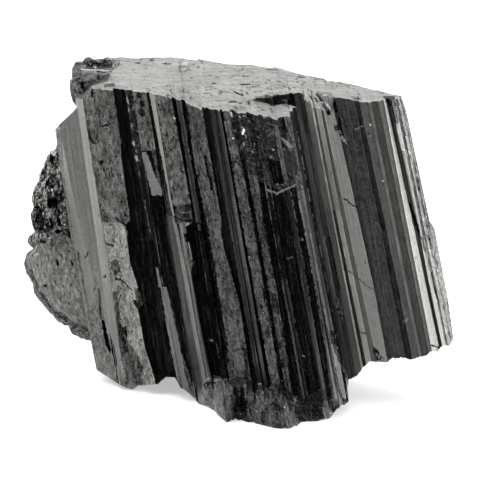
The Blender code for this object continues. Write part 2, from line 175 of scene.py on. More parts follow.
# The finish and shade of each face of the back, between neighbouring points of that list
BACK_FINISH = (
    (ROUGH, 3.5), (ROUGH, 4), (ROUGH, 3), (GLOSS, 0.4), (LINES, 2), (SHEEN, 1.5), (GLOSS, 0.4),
    (LINES, 2.5), (SHEEN, 1.2), (GLOSS, 0.3), (ROUGH, 3.5), (SHEEN, 2), (LINES, 1.5), (GLOSS, 0.4),
    (ROUGH, 4), (LINES, 2), (GLOSS, 0.4), (SHEEN, 2.5), (LINES, 2), (GLOSS, 0.3), (SHEEN, 2.5),
    (LINES, 4),
)

# The front rim of the top break: how far it drops, the shelf behind it, and the rise back up
RIM_DROP = ((94, 13), (101, 12), (108, 5), (112, 0), (181, 0), (190, 2.5), (200, 6), (211, 4),
            (222, 0.5), (253, 0), (256, 2.5), (266, 3), (275, 5), (290, 9), (296, 10.5), (303, 9),
            (318.1, 8), (318.4, 0), (326.6, 0), (327, 6), (335, 12), (345, 14), (352, 12),
            (357, 3), (360, 0), (363, 0), (373, 1.3), (382, 3.6), (394, 3), (404, 2), (408, 0),
            (416, 0.5), (424, 1.5), (430, 6))
SHELF_WIDTH = ((94, 1), (112, 3), (262, 10), (266, 25), (275, 34), (290, 45), (303, 40),
               (308, 29), (318.1, 18), (318.4, 1))
RISE_WIDTH = ((94, 35), (108, 30), (112, 2), (181, 2), (190, 22), (211, 22), (224, 2), (326, 2),
              (329, 14), (352, 16), (362, 6), (376, 14), (398, 14), (410, 4))
SHELF_RINGS, RISE_RINGS, TOP_RINGS, FOOT_RINGS = 30, 12, 105, 12
TOP_SHADE = 12.2
TOP_CORNER, RISE_CORNER = 108, 112  # the rough left corner of the top break and of the rise ends here

# The lower crystal on the left: its edges as (row, x) points, their depths at the top and the
# foot, the rows where they start and end, and the finish and shade of the face to their right
FLANK_FRONT = (
    (((129, 68), (240, 69), (320, 73), (370, 76)), 140, 148, 129, 370, (SHEEN, 12.2)),
    (((125, 73), (180, 76), (230, 80), (300, 88), (378, 90)), 128, 134, 124, 380, (SHEEN, 9.3)),
    (((105, 96), (385, 98)), 111, 124, 106, 386, (ROUGH, 5)),
)
FLANK_BACK = (
    (((100, 74), (386, 80)), 176, 178, 134, 352, (ROUGH, 10)),
    (((100, 104), (386, 104)), 172, 178, 130, 352, (ROUGH, 10)),
)

# Lumps as outlines on the page, (x, row), with the depth of their rim, how far they bulge to the
# front and to the back, and how rough they are
SIDE_LUMP = dict(
    outline=((92, 107), (71, 128), (70, 134), (66, 147), (60, 150), (54, 158), (51, 165), (45, 173),
             (44, 180), (38, 187), (34, 198), (35, 206), (31, 214), (31, 224), (33, 231), (26, 236),
             (24, 241), (29, 248), (22, 253), (18, 262), (19, 272), (24, 283), (24, 292), (29, 301),
             (36, 311), (44, 322), (54, 327), (56, 334), (68, 340), (80, 344), (100, 332),
             (118, 250), (114, 150)),
    rim=178, front=34, back=30, rough=3.4, around=320, rings=(90, 60),
)
CORNER_KNOB = dict(
    outline=((90, 80), (94, 77), (99.5, 75), (100.5, 68.5), (102, 66.5), (108, 67.5), (112, 68.5),
             (127, 69), (133, 73), (126, 84), (112, 97), (98, 108), (92.5, 105), (90, 101),
             (89, 95), (89, 88)),
    rim=146, front=38, back=42, rough=1.8, around=220, rings=(60, 16),
)
BACK_KNOB = dict(
    outline=((106, 70), (107, 64), (106.5, 60), (109.5, 56.5), (114, 56), (116, 59), (120, 60.5),
             (126, 60), (129.5, 57), (133.5, 55.5), (136, 57.5), (137, 60), (140, 62), (138, 67),
             (132, 70), (118, 71)),
    rim=186, front=10, back=10, rough=2.2, around=160, rings=(30, 12),
)


def oval(x, row, wide, high, turn=0.0):
    """An ellipse on the page, as a polygon. Where turn isn't 0, it slants."""
    points = []
    for k in range(OVAL_SIDES):
        angle = 2 * math.pi * k / OVAL_SIDES
        across, down = wide * math.cos(angle), high * math.sin(angle)
        points.append((x + across + turn * down, row + down))
    return tuple(points)


def ovals(*rows):
    """Marks with oval areas: each is an x, a row, half a width and a height, and what its table adds."""
    return tuple((oval(*values[:4]), *values[4:]) for values in rows)


def streak(points, width):
    """A thin band that follows a line of page points, as a polygon."""
    upper = [(x, row - width / 2) for x, row in points]
    lower = [(x, row + width / 2) for x, row in reversed(points)]
    return tuple(upper + lower)


def seen(*points):
    """Page positions of points that are given by where they show in the leaning picture."""
    slope = (LEAN_RIGHT - LEAN_LEFT) / (RIGHT_X - LEFT_X)
    page = []
    for across, row in points:
        up = LEAN_ROW - row
        page.append(((across + (LEAN_LEFT - slope * LEFT_X) * up) / (1 - slope * up), row))
    return tuple(page)


# Spots, chips, holes and cracks: an area of the front, its finish and shade, and how far it stands
# proud. A later one lies over an earlier one. seen() has the points that were read off the picture.
# The bright satin ovals are painted glints.
PATCHES = (
    # the broken band at the left
    (seen((89.6, 86.5), (93.4, 85.6), (92.8, 89.6), (92.5, 98), (91.3, 98), (90.9, 90)), ROUGH, 0.4,
     -2),
    (streak(((114, 125.5), (118, 126), (122, 125), (126, 123)), 1.6), GLOSS, 0.4, -0.8),
    (((102, 127), (104, 136), (108, 143), (105, 144), (101.5, 138)), ROUGH, 1.2, -1.2),
    (((108, 161), (113, 159.5), (113, 162), (110, 166)), ROUGH, 1, -1.2),
    (streak(((101, 175), (102.5, 150)), 2), ROUGH, 1.4, -1),
    (((117, 216), (122, 220), (126, 223), (131, 222), (131, 226), (124, 225), (118, 220)),
     ROUGH, 2.4, -1.5),
    (((121, 227), (126, 225), (126, 238), (122, 240), (119, 232)), ROUGH, 20, 1),
    (streak(((104, 243), (108, 243.5), (111, 245)), 1.7), GLOSS, 0.5, -1),
    (streak(((107, 278), (113, 279), (118, 284), (122, 289)), 1.8), ROUGH, 1.4, -1.5),
    (((105, 262), (112, 258), (114, 272), (106, 274)), ROUGH, 6, -1),
    (((122, 299), (127, 301), (126, 309), (123, 306)), GLOSS, 0.5, -1.5),
    (((126, 286), (130, 290), (132, 303), (127, 308), (125, 296)), ROUGH, 6, 0.5),
    (((108, 325), (110, 332), (109, 335), (107, 330)), ROUGH, 1, -1),
    (((103, 320), (110, 340), (120, 356), (122, 374), (104, 384), (102, 350)), ROUGH, 7, 0),
    (((118, 358), (122, 366), (120, 372), (117, 368)), ROUGH, 1.4, -1.5),
    # the strip to its left
    (streak(((96.5, 277), (99, 274.5)), 2.2), ROUGH, 2.2, -0.6),
    (((95, 338), (96.5, 345), (97.3, 360), (96, 372), (94.5, 350)), ROUGH, 1.4, -1.5),
    (seen((112.5, 292), (116, 290), (118, 305), (120, 322), (121.5, 340), (118.5, 338), (116.5, 322),
          (114, 308)), ROUGH, 5.5, -0.8),
    (seen((118, 322), (120, 321), (124, 338), (127, 352), (124, 352), (120, 336)), ROUGH, 2.5, -1),
    (seen((123.4, 326), (125, 326), (126.6, 337), (125.2, 337.5)), GLOSS, 0.3, -2),
    # the sparkling line, with painted glints, and the facets beside it
    *ovals((147, 101, 1.3, 4, SHEEN, 20, 0.5), (147.2, 110, 1, 3, SHEEN, 17, 0.5),
           (147, 126, 1, 3, SHEEN, 14, 0.5), (146.3, 143, 1.3, 2.5, SHEEN, 30, 0.5),
           (146.6, 158, 1.4, 3.5, SHEEN, 30, 0.5), (147.5, 174, 0.8, 3, SHEEN, 10, 0.5)),
    (((148, 200), (149, 200), (150, 233), (149, 234)), SHEEN, 6, 0.5),
    *ovals((160, 95, 2.5, 3.5, GRAIN, 0.8, -1.5), (161.5, 104, 2.5, 4, GRAIN, 0.8, -1.5),
           (160, 113, 3, 4.5, GRAIN, 0.8, -1.5)),
    (((153, 152), (158, 151), (163, 172), (168.5, 190), (168, 195), (157, 195), (154.5, 172)),
     SHEEN, 14, 1.5),
    (((158.5, 151), (163, 151), (165, 168), (164.5, 180), (161, 166)), GLOSS, 0.4, -1.5),
    (((163, 150), (168, 150), (168.5, 190), (165, 180)), ROUGH, 4, 0),
    (((149.5, 267), (152, 267), (152.6, 287), (149.8, 287)), SHEEN, 16, 1),
    (((151, 287), (157.3, 286), (158.5, 300), (161, 335), (162.5, 368), (166, 392), (168, 400),
      (160, 398), (154.5, 386), (153, 372), (151.5, 320)), SHEEN, 12, 1),
    (((162, 352), (166, 372), (169, 398), (164, 390), (161.5, 370)), ROUGH, 5, 0.5),
    # the notch broken out of the middle rough face
    (((176, 205), (184, 207), (194.5, 202), (194.5, 221), (176, 222)), ROUGH, 3, -2),
    (streak(((177, 217), (184, 220), (194, 221)), 1.6), ROUGH, 0.7, -3),
    (streak(((185, 212), (194, 212)), 1.5), SHEEN, 7, -1),
    (((183, 233), (187, 232), (188, 240), (184, 242)), GLOSS, 0.5, -2),
    (((184, 246), (188, 262), (184, 270), (182, 255)), ROUGH, 7, 1),
    # a painted glint
    (oval(192, 118.5, 1.3, 1), SHEEN, 60, 0.5),
    (streak(((191, 339), (195, 340)), 1.6), SHEEN, 14, 0.5),
    (((196, 342), (198, 345), (199, 360), (197.5, 352)), SHEEN, 4, 0.3),
    (((198, 224), (201, 224), (200.5, 230), (198.5, 230)), SHEEN, 5, 0),
    # the hole in the rough face left of the prow
    (((216, 156), (220.5, 156), (221, 172), (219.5, 195), (217.5, 188), (216, 172)), GLOSS, 0.4, -4),
    (((218, 140), (222.5, 136), (223, 168), (221, 170), (218, 152)), ROUGH, 4, 0),
    (streak(((214, 350), (221, 347.5), (227, 348.5)), 1.8), ROUGH, 1, -1.5),
    (((224, 350), (228, 352), (229, 372), (224, 364), (222, 358)), GLOSS, 0.5, -2),
    # the sparkling grain under the slab, with painted glints, and the dark hollow in it
    (((249, 112), (303, 118), (302, 140), (296, 172), (288, 190), (268, 182), (257, 170),
      (252, 150), (248.5, 130)), GRAIN, 2, -0.5),
    (((279, 158), (291, 162), (291, 184), (281, 183)), GLOSS, 0.3, -4),
    (((291, 125), (296, 125), (296, 186), (292, 188)), ROUGH, 5.5, 0),
    (((297, 150), (308, 152), (309, 168), (303, 178), (297, 172)), SHEEN, 2, 0),
    (((296, 136), (302, 140), (307, 147), (303, 149), (297, 141)), ROUGH, 16, 1),
    (((298, 118), (304, 120), (304, 133), (299, 130)), GLOSS, 0.6, -2),
    (((275, 121), (291, 124), (291, 150), (283, 152), (276, 140)), GRAIN, 3.4, -0.5),
    (oval(259.5, 132, 1.5, 3.4, -0.3), SHEEN, 90, 1),
    *ovals((250.5, 114, 0.9, 3.4, SHEEN, 50, 1), (261, 137, 0.8, 2.4, SHEEN, 22, 1),
           (248.3, 138.5, 1.1, 0.9, SHEEN, 45, 1), (258, 144, 1, 2.6, SHEEN, 18, 1),
           (268.5, 145, 0.8, 2.6, SHEEN, 16, 1), (265, 152.5, 1.2, 0.8, SHEEN, 16, 1),
           (258.5, 117.5, 0.7, 1.4, SHEEN, 30, 1), (274, 137.5, 1, 0.7, SHEEN, 18, 1),
           (283, 170, 0.8, 0.8, SHEEN, 14, 1)),
    (streak(((272, 189), (277, 191.5), (283, 193), (290, 190), (297, 187.5), (303, 183.5)), 1.8),
     SHEEN, 14, 0.8),
    (streak(((281, 257.5), (287, 256.5)), 1.4), SHEEN, 5, 0.3),
    (oval(299.5, 238.5, 1.2, 1), SHEEN, 12, 0.5),
    (((252.5, 196), (255, 196), (255, 210), (253, 210)), GLOSS, 0.3, -2),
    (((251.5, 285), (253, 288), (252.5, 304), (251, 298)), ROUGH, 1, -2),
    (((260, 292), (264, 294), (265, 310), (261, 315), (259, 302)), ROUGH, 1.4, -1.5),
    (((272.4, 310), (273.9, 312), (274.1, 400), (272.6, 400)), SHEEN, 6, 0.8),
    (oval(280, 355, 1.6, 1.2), SHEEN, 8, 0.5),
    # the prow's right corner
    (((307.8, 185), (309.8, 185), (310, 300), (309, 338), (307.5, 300)), SHEEN, 12, 0.5),
    (((309, 338), (310.8, 345), (313, 360), (318, 372), (317.5, 385), (313, 400), (310.5, 396),
      (309, 370)), SHEEN, 20, 1),
    (((321, 235), (322.6, 235), (322.8, 300), (321.2, 300)), SHEEN, 10, 0.5),
    (((323.5, 236), (328, 236), (328, 290), (324, 288)), SHEEN, 1.4, -1),
    (((321, 298), (328, 298), (327.5, 320), (322, 318)), GRAIN, 6, 0),
    (seen((292, 93), (301, 92), (304, 104), (309, 132), (305, 134), (299, 112), (294, 108)),
     LINES, 0.7, 0),
    # chips along the top of the right part
    (seen((318, 95), (327, 96.5), (331, 100), (333, 110), (328, 108), (322, 101)), ROUGH, 7, 0.3),
    (seen((301, 91), (313, 92), (318, 97), (322, 102.5), (317, 104), (312, 103.5), (307, 100)),
     ROUGH, 23, 0.6),
    (seen((311, 103), (313, 103), (314.5, 110), (312.5, 110)), ROUGH, 22, 0.4),
    (seen((317, 103), (319, 103), (322.5, 110), (320.5, 110)), ROUGH, 22, 0.4),
    (seen((313.3, 93.6), (316.3, 93.2), (323.5, 101), (321.4, 102.6)), GLOSS, 0.2, -2),
    (seen((313, 98), (314.5, 97.6), (318, 102.6), (316.4, 103)), GLOSS, 0.2, -1.5),
    (seen((308.5, 96), (309.7, 95.6), (312, 100), (310.8, 100.4)), GLOSS, 0.4, -1),
    (seen((320.5, 103.4), (323.4, 103), (328.2, 109.6), (329.6, 114.8), (327, 115), (322.6, 108.6)),
     GLOSS, 0.2, -2.5),
    (seen((323.6, 103), (326, 103.6), (331.6, 110), (331.4, 112), (328.6, 109.4)), ROUGH, 20, 0.6),
    (seen((331, 97), (333.6, 97.4), (334.8, 105), (336.6, 113), (335.4, 113.4), (332.8, 106)),
     GLOSS, 0.2, -2),
    (seen((337, 117.6), (338.6, 117.6), (340.4, 127), (343.2, 138), (341.8, 138.4), (338.4, 129)),
     GLOSS, 0.3, -2),
    (seen((332.6, 125), (337, 124.6), (339.4, 130), (336, 132.4), (333, 129.4)), ROUGH, 2.4, -1.5),
    (seen((335, 131), (339, 129.6), (342, 136), (345.4, 143.6), (342.4, 141.4), (337.4, 135)),
     ROUGH, 21, 0.6),
    # the smooth facet and its cracks
    (streak(((348, 198.5), (352, 200), (356, 205), (362, 207)), 1.7), GLOSS, 0.8, -0.8),
    (streak(((335, 268.5), (340, 271), (347, 276), (354, 284), (362, 290)), 1.5), SHEEN, 6, -0.5),
    (streak(((340, 332), (348, 334)), 1.4), SHEEN, 7, -0.4),
    (((350, 346), (354, 349), (356, 358), (351, 360), (349, 352)), ROUGH, 1.4, -1),
    (((352, 352), (357, 356), (363, 358), (363, 361), (354, 360)), ROUGH, 15, 0.5),
    (streak(((373, 130), (380, 127), (385, 126)), 1.3), SHEEN, 12, 0.3),
    (streak(((376, 222), (381, 230), (385, 238)), 1.4), SHEEN, 6, 0.2),
    (streak(((384, 321), (390, 318)), 2), SHEEN, 14, 0.3),
    # two painted glints, and a dark spot
    *ovals((390, 125, 1.3, 1, SHEEN, 35, 0.3), (391.5, 180.5, 1.1, 1, SHEEN, 35, 0.3),
           (387, 134, 1.2, 2.2, SHEEN, 2.4, -0.5)),
    # the right end
    (seen((381, 96), (393, 96), (394.5, 106), (397, 124), (394, 124), (390, 108), (385, 102)),
     GLOSS, 0.4, -1),
    (((413, 200), (415.5, 205), (418.5, 230), (417, 236), (414, 218)), GLOSS, 0.5, -1.5),
    (((418, 235), (419.5, 238), (421.5, 270), (423.5, 303), (422.5, 308), (420, 280)),
     SHEEN, 3, -1),
    *ovals((425.5, 188, 1.3, 3, SHEEN, 3, -0.6), (426, 215, 1.2, 3.5, SHEEN, 3, -0.6),
           (424.5, 255, 1.2, 3, SHEEN, 5, -0.6)),
    (streak(((406.5, 344), (415, 347)), 1.8), ROUGH, 2, -0.5),
    # the broken lumps of the foot
    (seen((232, 370), (248, 369), (254, 380), (248, 392), (246, 424), (226, 424), (230, 384)),
     ROUGH, 1.6, 0),
    (seen((229, 381), (236, 376), (244, 378), (243, 391), (247, 402), (246, 410), (242, 424),
          (230, 424), (232, 400)), ROUGH, 0.3, -2.5),
    (seen((204, 388), (210, 384), (224, 379), (229, 382), (233, 389), (235, 398), (233.5, 408),
          (231, 416), (232, 424), (214, 412), (204, 404)), ROUGH, 7, 0),
    (seen((203, 383.5), (208, 381), (214, 382.5), (209, 386), (204, 389)), GLOSS, 0.4, -1.5),
    (seen((237, 386), (240, 385), (241, 396), (239, 404), (237, 398)), ROUGH, 2.5, 1),
    (seen((243, 382), (246, 384), (247, 398), (244.5, 400), (243, 392)), ROUGH, 6.5, 1),
    (seen((246, 396), (252, 390), (264, 387), (272, 392), (274, 410), (275, 432), (246, 432)),
     ROUGH, 4.8, 0),
    (seen((270, 388), (282, 380), (290, 400), (299, 424), (290, 432), (273, 432), (272, 408)),
     ROUGH, 3.2, 0),
    (seen((262, 383), (268, 387), (270, 398), (266, 396), (262, 390)), ROUGH, 0.4, -2),
    (seen((262, 408), (265, 414), (264, 424), (260, 420)), ROUGH, 1, -2),
    (seen((256, 396), (262, 395), (264, 399), (258, 400)), ROUGH, 8, 0.5),
    (seen((284, 392), (288, 396), (291, 408), (288, 408)), ROUGH, 0.4, -1),
    (seen((294, 402), (306, 396), (318, 390), (330, 386), (334, 420), (302, 426)), ROUGH, 0.5, 0),
    (seen((320, 402), (325, 398), (329, 402), (328, 414), (322, 412)), ROUGH, 2.8, 0.5),
    (seen((300, 412), (306, 410), (308, 420), (303, 424)), ROUGH, 2, 0.5),
    (seen((247, 402), (251, 400), (252, 412), (249, 418)), ROUGH, 2.2, -1),
)

# The rows below which the striations end in broken lumps
FOOT_BREAK = ((172, 430), (173, 404), (178, 387), (190, 381), (203, 379), (207, 372), (219, 370),
              (226, 392), (238, 386), (250, 384), (258, 398), (272, 402), (301, 408), (303, 430))
# Rounded lumps broken out of the foot: middle, half width and half height, and how far they bulge
FOOT_LUMPS = (
    (189, 398, 16, 22, 7), (213, 400, 8, 24, -5), (232, 404, 14, 22, 5), (250, 410, 12, 22, 5),
    (272, 408, 11, 14, -2), (294, 408, 9, 13, 3), (112, 372, 11, 22, 3), (314, 384, 6, 20, 2),
)

# The crevice behind the slab at the front of the top break: sunk, and painted nearly black as its shadow
CREVICE = seen((248, 100), (262, 98.4), (268, 99), (275, 96.4), (285, 94.4), (298, 92.6), (303, 94.6),
               (300, 109), (292, 106), (285, 104), (272, 105.5), (265, 103), (255, 101.5))

# The back left corner of the top break, under the same crust as the knobs beside it
CRUSTED_CORNER = seen((74, 56), (120, 59), (118, 63.5), (110.5, 71), (104, 76), (94, 84.5),
                      (88, 87), (70, 88))

# Marks on the top break, drawn where they show on the page: an area, its shade and its height
TOP_MARKS = (
    (oval(271, 84.3, 6, 0.8, 0.2), 1.5, -1),
    (streak(((257, 91.5), (262, 94), (266, 95.5)), 1.8), 1, -1.5),
    *ovals((238, 83.2, 3.2, 0.9, 2.5, -1), (254, 102, 4.5, 0.8, 2, -1),
           (272, 76, 4.5, 0.6, 4, -0.5), (163, 62.2, 3.4, 0.9, 1.5, -1),
           (161, 56.6, 5, 0.8, 3, -0.5), (178, 59.5, 2.2, 1, 2, -0.5),
           (193, 62.8, 6, 0.6, 4, -0.5), (329, 76.8, 4.5, 0.8, 2.5, -0.5),
           (382, 98.6, 4, 1, 2, -1), (331, 82.2, 1.5, 0.8, 2.5, -0.5), (262, 103.6, 2, 1, 3, -0.5),
           (243, 76.5, 2.2, 0.8, 4, -0.5), (207, 92, 5, 0.5, 5, -0.3),
           (230, 93.5, 5, 0.5, 5, -0.3), (216, 77.5, 2, 0.7, 5, -0.3), (300, 69, 7, 0.6, 5, -0.3),
           (295, 89, 8, 0.5, 6, -0.3), (280, 82, 7, 0.5, 6, -0.3)),
    # the small pale crystal
    (seen((178.6, 70), (180.4, 66), (182, 62.6), (186, 61), (188.4, 62.4), (187, 66), (184.6, 69)),
     27, 3),
    (seen((178.6, 70.6), (181, 67.6), (185, 68.4), (186, 70), (183, 71.4)), 19, 2),
    (seen((181.6, 66.6), (184.6, 64), (185.4, 64.8), (182.4, 67.4)), 13, 0),
    (seen((104, 83.7), (114.5, 83.2), (115.5, 86.6), (104, 87)), 2.5, -0.5),
    (seen((112, 62), (118, 60.5), (120, 64), (114, 68), (110, 70)), 3.5, 0.5),
)


def mix(a, b, share):
    """The value at this share of the way from a to b."""
    return a + (b - a) * share


def along(table, at):
    """The values that a table of (position, value) pairs gives at these positions."""
    positions, values = zip(*table)
    return np.interp(at, positions, values)


def ramp(values, first, last):
    """0 below first and 1 above last, with a straight rise between them."""
    return np.clip((values - first) / (last - first), 0, 1)


def place(x, row, depth):
    """Points in space of upright page positions, never below the floor, in metres."""
    lean = mix(LEAN_LEFT, LEAN_RIGHT, (x - LEFT_X) / (RIGHT_X - LEFT_X))
    across = x + lean * (row - LEAN_ROW) - CENTRE_X
    height = np.maximum(height_of(row, depth), 0.0)
    return np.stack([across, depth - CENTRE_DEPTH, height], -1) * UNIT


def height_of(row, depth):
    """Height over the floor of a page point, in page units."""
    return (FLOOR_ROW - row - depth * math.sin(VIEW_TILT)) / math.cos(VIEW_TILT)


def row_of(height, depth):
    """The row where a point of this height and depth shows on the page."""
    return FLOOR_ROW - height * math.cos(VIEW_TILT) - depth * math.sin(VIEW_TILT)


def lattice(i, j, seed):
    """A fixed random number between -1 and 1 for each whole grid point."""
    mixed = np.sin(i * 127.1 + j * 311.7 + seed * 74.7) * 43758.5453
    return (mixed - np.floor(mixed)) * 2 - 1


def ripple(x, y, seed=0.0):
    """Smooth random hills and hollows about one unit across, between -1 and 1."""
    i, j = np.floor(x), np.floor(y)
    u, v = x - i, y - j
    u, v = u * u * (3 - 2 * u), v * v * (3 - 2 * v)
    upper = mix(lattice(i, j, seed), lattice(i + 1, j, seed), u)
    lower = mix(lattice(i, j + 1, seed), lattice(i + 1, j + 1, seed), u)
    return mix(upper, lower, v)


def rubble(x, y, seed=0.0, octaves=4):
    """Ripples on ripples, each half the size of the last."""
    total, turn_x, turn_y = 0.0, x, y
    for k in range(octaves):
        total = total + ripple(turn_x, turn_y, seed + 3.1 * k) * 0.55**k
        turn_x, turn_y = 1.6 * turn_x - 1.2 * turn_y, 1.2 * turn_x + 1.6 * turn_y
    return total * 0.6


def inside(polygon, x, row):
    """Which of these page points lie in a polygon."""
    found = np.zeros(x.shape, bool)
    corners = np.array(polygon, float)
    for (x0, r0), (x1, r1) in zip(corners, np.roll(corners, -1, 0)):
        if r0 == r1:
            continue
        crosses = (r0 > row) != (r1 > row)
        found ^= crosses & (x < x0 + (x1 - x0) * (row - r0) / (r1 - r0))
    return found


def face_depth(x, row):
    """Depth of the front outline, blended from the top break to the foot."""
    return mix(along(FRONT_TOP, x), along(FRONT_FOOT, x), (row - TOP_ROW) / (FOOT_ROW - TOP_ROW))


def foot_spread(x, row):
    """How much of the way out to the floor the foot has spread, from 0 to 1."""
    first = along(SPREAD_FROM, x) + 3 * rubble(x / 4, row / 6, 16, 2)
    last = np.minimum(first + SPREAD_SPAN, along(FOOT_EDGE, x))
    share = ramp(row, first, last)
    return share * share * (3 - 2 * share)


def front_depth(x, row):
    """Depth of the front outline with its foot spread out to the floor."""
    floor_depth = (FLOOR_ROW - along(FOOT_EDGE, x)) / math.sin(VIEW_TILT)
    spread = along(TOUCH, x) * (floor_depth - face_depth(x, along(FOOT_EDGE, x)))
    return face_depth(x, row) + spread * foot_spread(x, row)


def rim_drop(x):
    """How far the chipped front rim lies below the top break."""
    chipped = np.maximum(rubble(x / 2.2, 0 * x, 15, 2), 0) * np.where(x < RIGHT_PART, 3.0, 0.8)
    return along(RIM_DROP, x) + chipped


def foot_row(x):
    """Row of the lower edge of the broken foot, with small chips out of it."""
    return along(FOOT_EDGE, x) - 3.5 * np.maximum(rubble(x / 5, 0 * x, 16, 3), 0)


def foot_height(x):
    """How high the broken foot stands over the floor at x, the same from front to back."""
    return np.maximum(height_of(foot_row(x), front_depth(x, foot_row(x))), 0)


def chips(x, y, seed=0.0):
    """Flat tilted chips about one unit across: their height, a tone for each, and 0 at their edges."""
    x, y = x + 0.35 * ripple(x * 1.4, y * 1.4, seed + 7), y + 0.35 * ripple(x * 1.4, y * 1.4, seed + 8)
    i, j = np.floor(x), np.floor(y)
    first, second = np.full(x.shape, 9.0), np.full(x.shape, 9.0)
    height, tone = np.zeros(x.shape), np.zeros(x.shape)
    for column, line in ((i + a, j + b) for a in (-1, 0, 1) for b in (-1, 0, 1)):
        across = x - column - 0.5 - 0.4 * lattice(column, line, seed)
        down = y - line - 0.5 - 0.4 * lattice(column, line, seed + 1)
        away = np.hypot(across, down)
        plane = across * lattice(column, line, seed + 2) + down * lattice(column, line, seed + 3)
        plane = plane + 0.4 * lattice(column, line, seed + 4)
        nearer = away < first
        second = np.where(nearer, first, np.minimum(second, away))
        first = np.where(nearer, away, first)
        height = np.where(nearer, plane, height)
        tone = np.where(nearer, lattice(column, line, seed + 5), tone)
    return height, tone, ramp(second - first, 0, 0.15)


def relief(finish, x, row, seed=0.0):
    """How far each point of a face stands out for its finish, in page units."""
    large, small = chips(x / 7, row / 16, seed), chips(x / 2.6, row / 4.6, seed + 20)
    flakes = 1.3 * large[0] + 0.7 * small[0] + 1.2 * rubble(x / 4, row / 8, seed)
    crumbs = chips(x / 2.6, row / 2.8, seed + 40)[0] + 0.5 * rubble(x / 5, row / 5, seed + 9)
    ribs = ripple(x / 1.9, row / 90, seed + 11) + 0.6 * ripple(x / 4.3, row / 140, seed + 12)
    heights = {
        GLOSS: 0.14 * ribs,
        SHEEN: 0.10 * ribs,
        ROUGH: flakes + 0.1 * ribs,
        LINES: 0.45 * ribs + 0.15 * flakes,
        GRAIN: 1.2 * crumbs,
    }
    out = np.zeros(np.broadcast(x, row).shape)
    for kind, height in heights.items():
        out = np.where(finish == kind, height, out)
    return out


def foot_swell(x, row):
    """How far the rounded lumps of the foot stand out."""
    out = np.zeros(x.shape)
    for at, middle, wide, high, bulge in FOOT_LUMPS:
        away = ((x - at) / wide) ** 2 + ((row - middle) / high) ** 2
        out = out + bulge * np.sqrt(np.clip(1 - away, 0, 1))
    return out


class Shell:
    """Vertices and faces of one fine mesh, with the finish and shade of every face."""

    def __init__(self):
        self.points, self.grain, self.faces, self.kinds, self.shades = [], [], [], [], []
        self.count = 0

    def add_points(self, x, row, depth):
        """Adds a block of page points and returns their numbers in the same shape."""
        x, row, depth = np.broadcast_arrays(x, row, depth)
        self.points.append(place(x, row, depth).reshape(-1, 3))
        self.grain.append(np.stack([x, row, depth], -1).reshape(-1, 3) * UNIT)
        numbers = np.arange(self.count, self.count + x.size).reshape(x.shape)
        self.count += x.size
        return numbers

    def add_grid(self, numbers, kinds, shades, turned=False):
        """Quads between neighbouring columns (first axis) and levels (second axis)."""
        corners = numbers[:-1, :-1], numbers[:-1, 1:], numbers[1:, 1:], numbers[1:, :-1]
        quads = np.stack(corners, -1)
        self.add_faces(quads[..., ::-1] if turned else quads, kinds, shades)

    def add_faces(self, faces, kinds, shades):
        """Faces as rows of vertex numbers, with one finish and shade for all or one for each."""
        shape = faces.shape[:-1]
        self.faces.append(faces.reshape(-1, faces.shape[-1]))
        self.kinds.append(np.broadcast_to(kinds, shape).reshape(-1))
        self.shades.append(np.broadcast_to(shades, shape).reshape(-1))

    def zip_chains(self, front, back, kind, shade, upward):
        """Triangles between two chains of vertices that both run from left to right."""
        across = np.concatenate(self.points)[:, 0]
        triangles, f, b = [], 0, 0
        while f < len(front) - 1 or b < len(back) - 1:
            step_front = b == len(back) - 1 or (
                f < len(front) - 1 and across[front[f + 1]] < across[back[b + 1]]
            )
            third = front[f + 1] if step_front else back[b + 1]
            corners = (front[f], third, back[b])
            triangles.append(corners if upward else corners[::-1])
            f, b = (f + 1, b) if step_front else (f, b + 1)
        self.add_faces(np.array(triangles), kind, shade)

    def build(self, name, materials):
        """The mesh object, with grain and shade attributes for its materials."""
        mesh = bpy.data.meshes.new(name)
        faces = [face for block in self.faces for face in block.tolist()]
        mesh.from_pydata(np.concatenate(self.points).tolist(), [], faces)
        for material in materials:
            mesh.materials.append(material)
        mesh.polygons.foreach_set("material_index", np.concatenate(self.kinds).astype(np.int32))
        mesh.polygons.foreach_set("use_smooth", np.zeros(len(faces), bool))
        shade = mesh.attributes.new("shade", "FLOAT", "FACE")
        shade.data.foreach_set("value", np.concatenate(self.shades).astype(np.float32))
        grain = mesh.attributes.new("grain", "FLOAT_VECTOR", "POINT")
        grain.data.foreach_set("vector", np.concatenate(self.grain).astype(np.float32).ravel())
        made = bpy.data.objects.new(name, mesh)
        bpy.context.scene.collection.objects.link(made)
        return made


def centres(values):
    """The middle value of each quad of a grid."""
    return (values[:-1, :-1] + values[:-1, 1:] + values[1:, :-1] + values[1:, 1:]) / 4


def face_look(number, row):
    """Finish and shade of one front face at these rows."""
    finish = np.full(row.shape, FACES[number][3][-1][1])
    shade = np.full(row.shape, float(FACES[number][3][-1][2]))
    for last_row, kind, value in reversed(FACES[number][3]):
        above = row <= last_row
        finish, shade = np.where(above, kind, finish), np.where(above, value, shade)
    return finish, shade


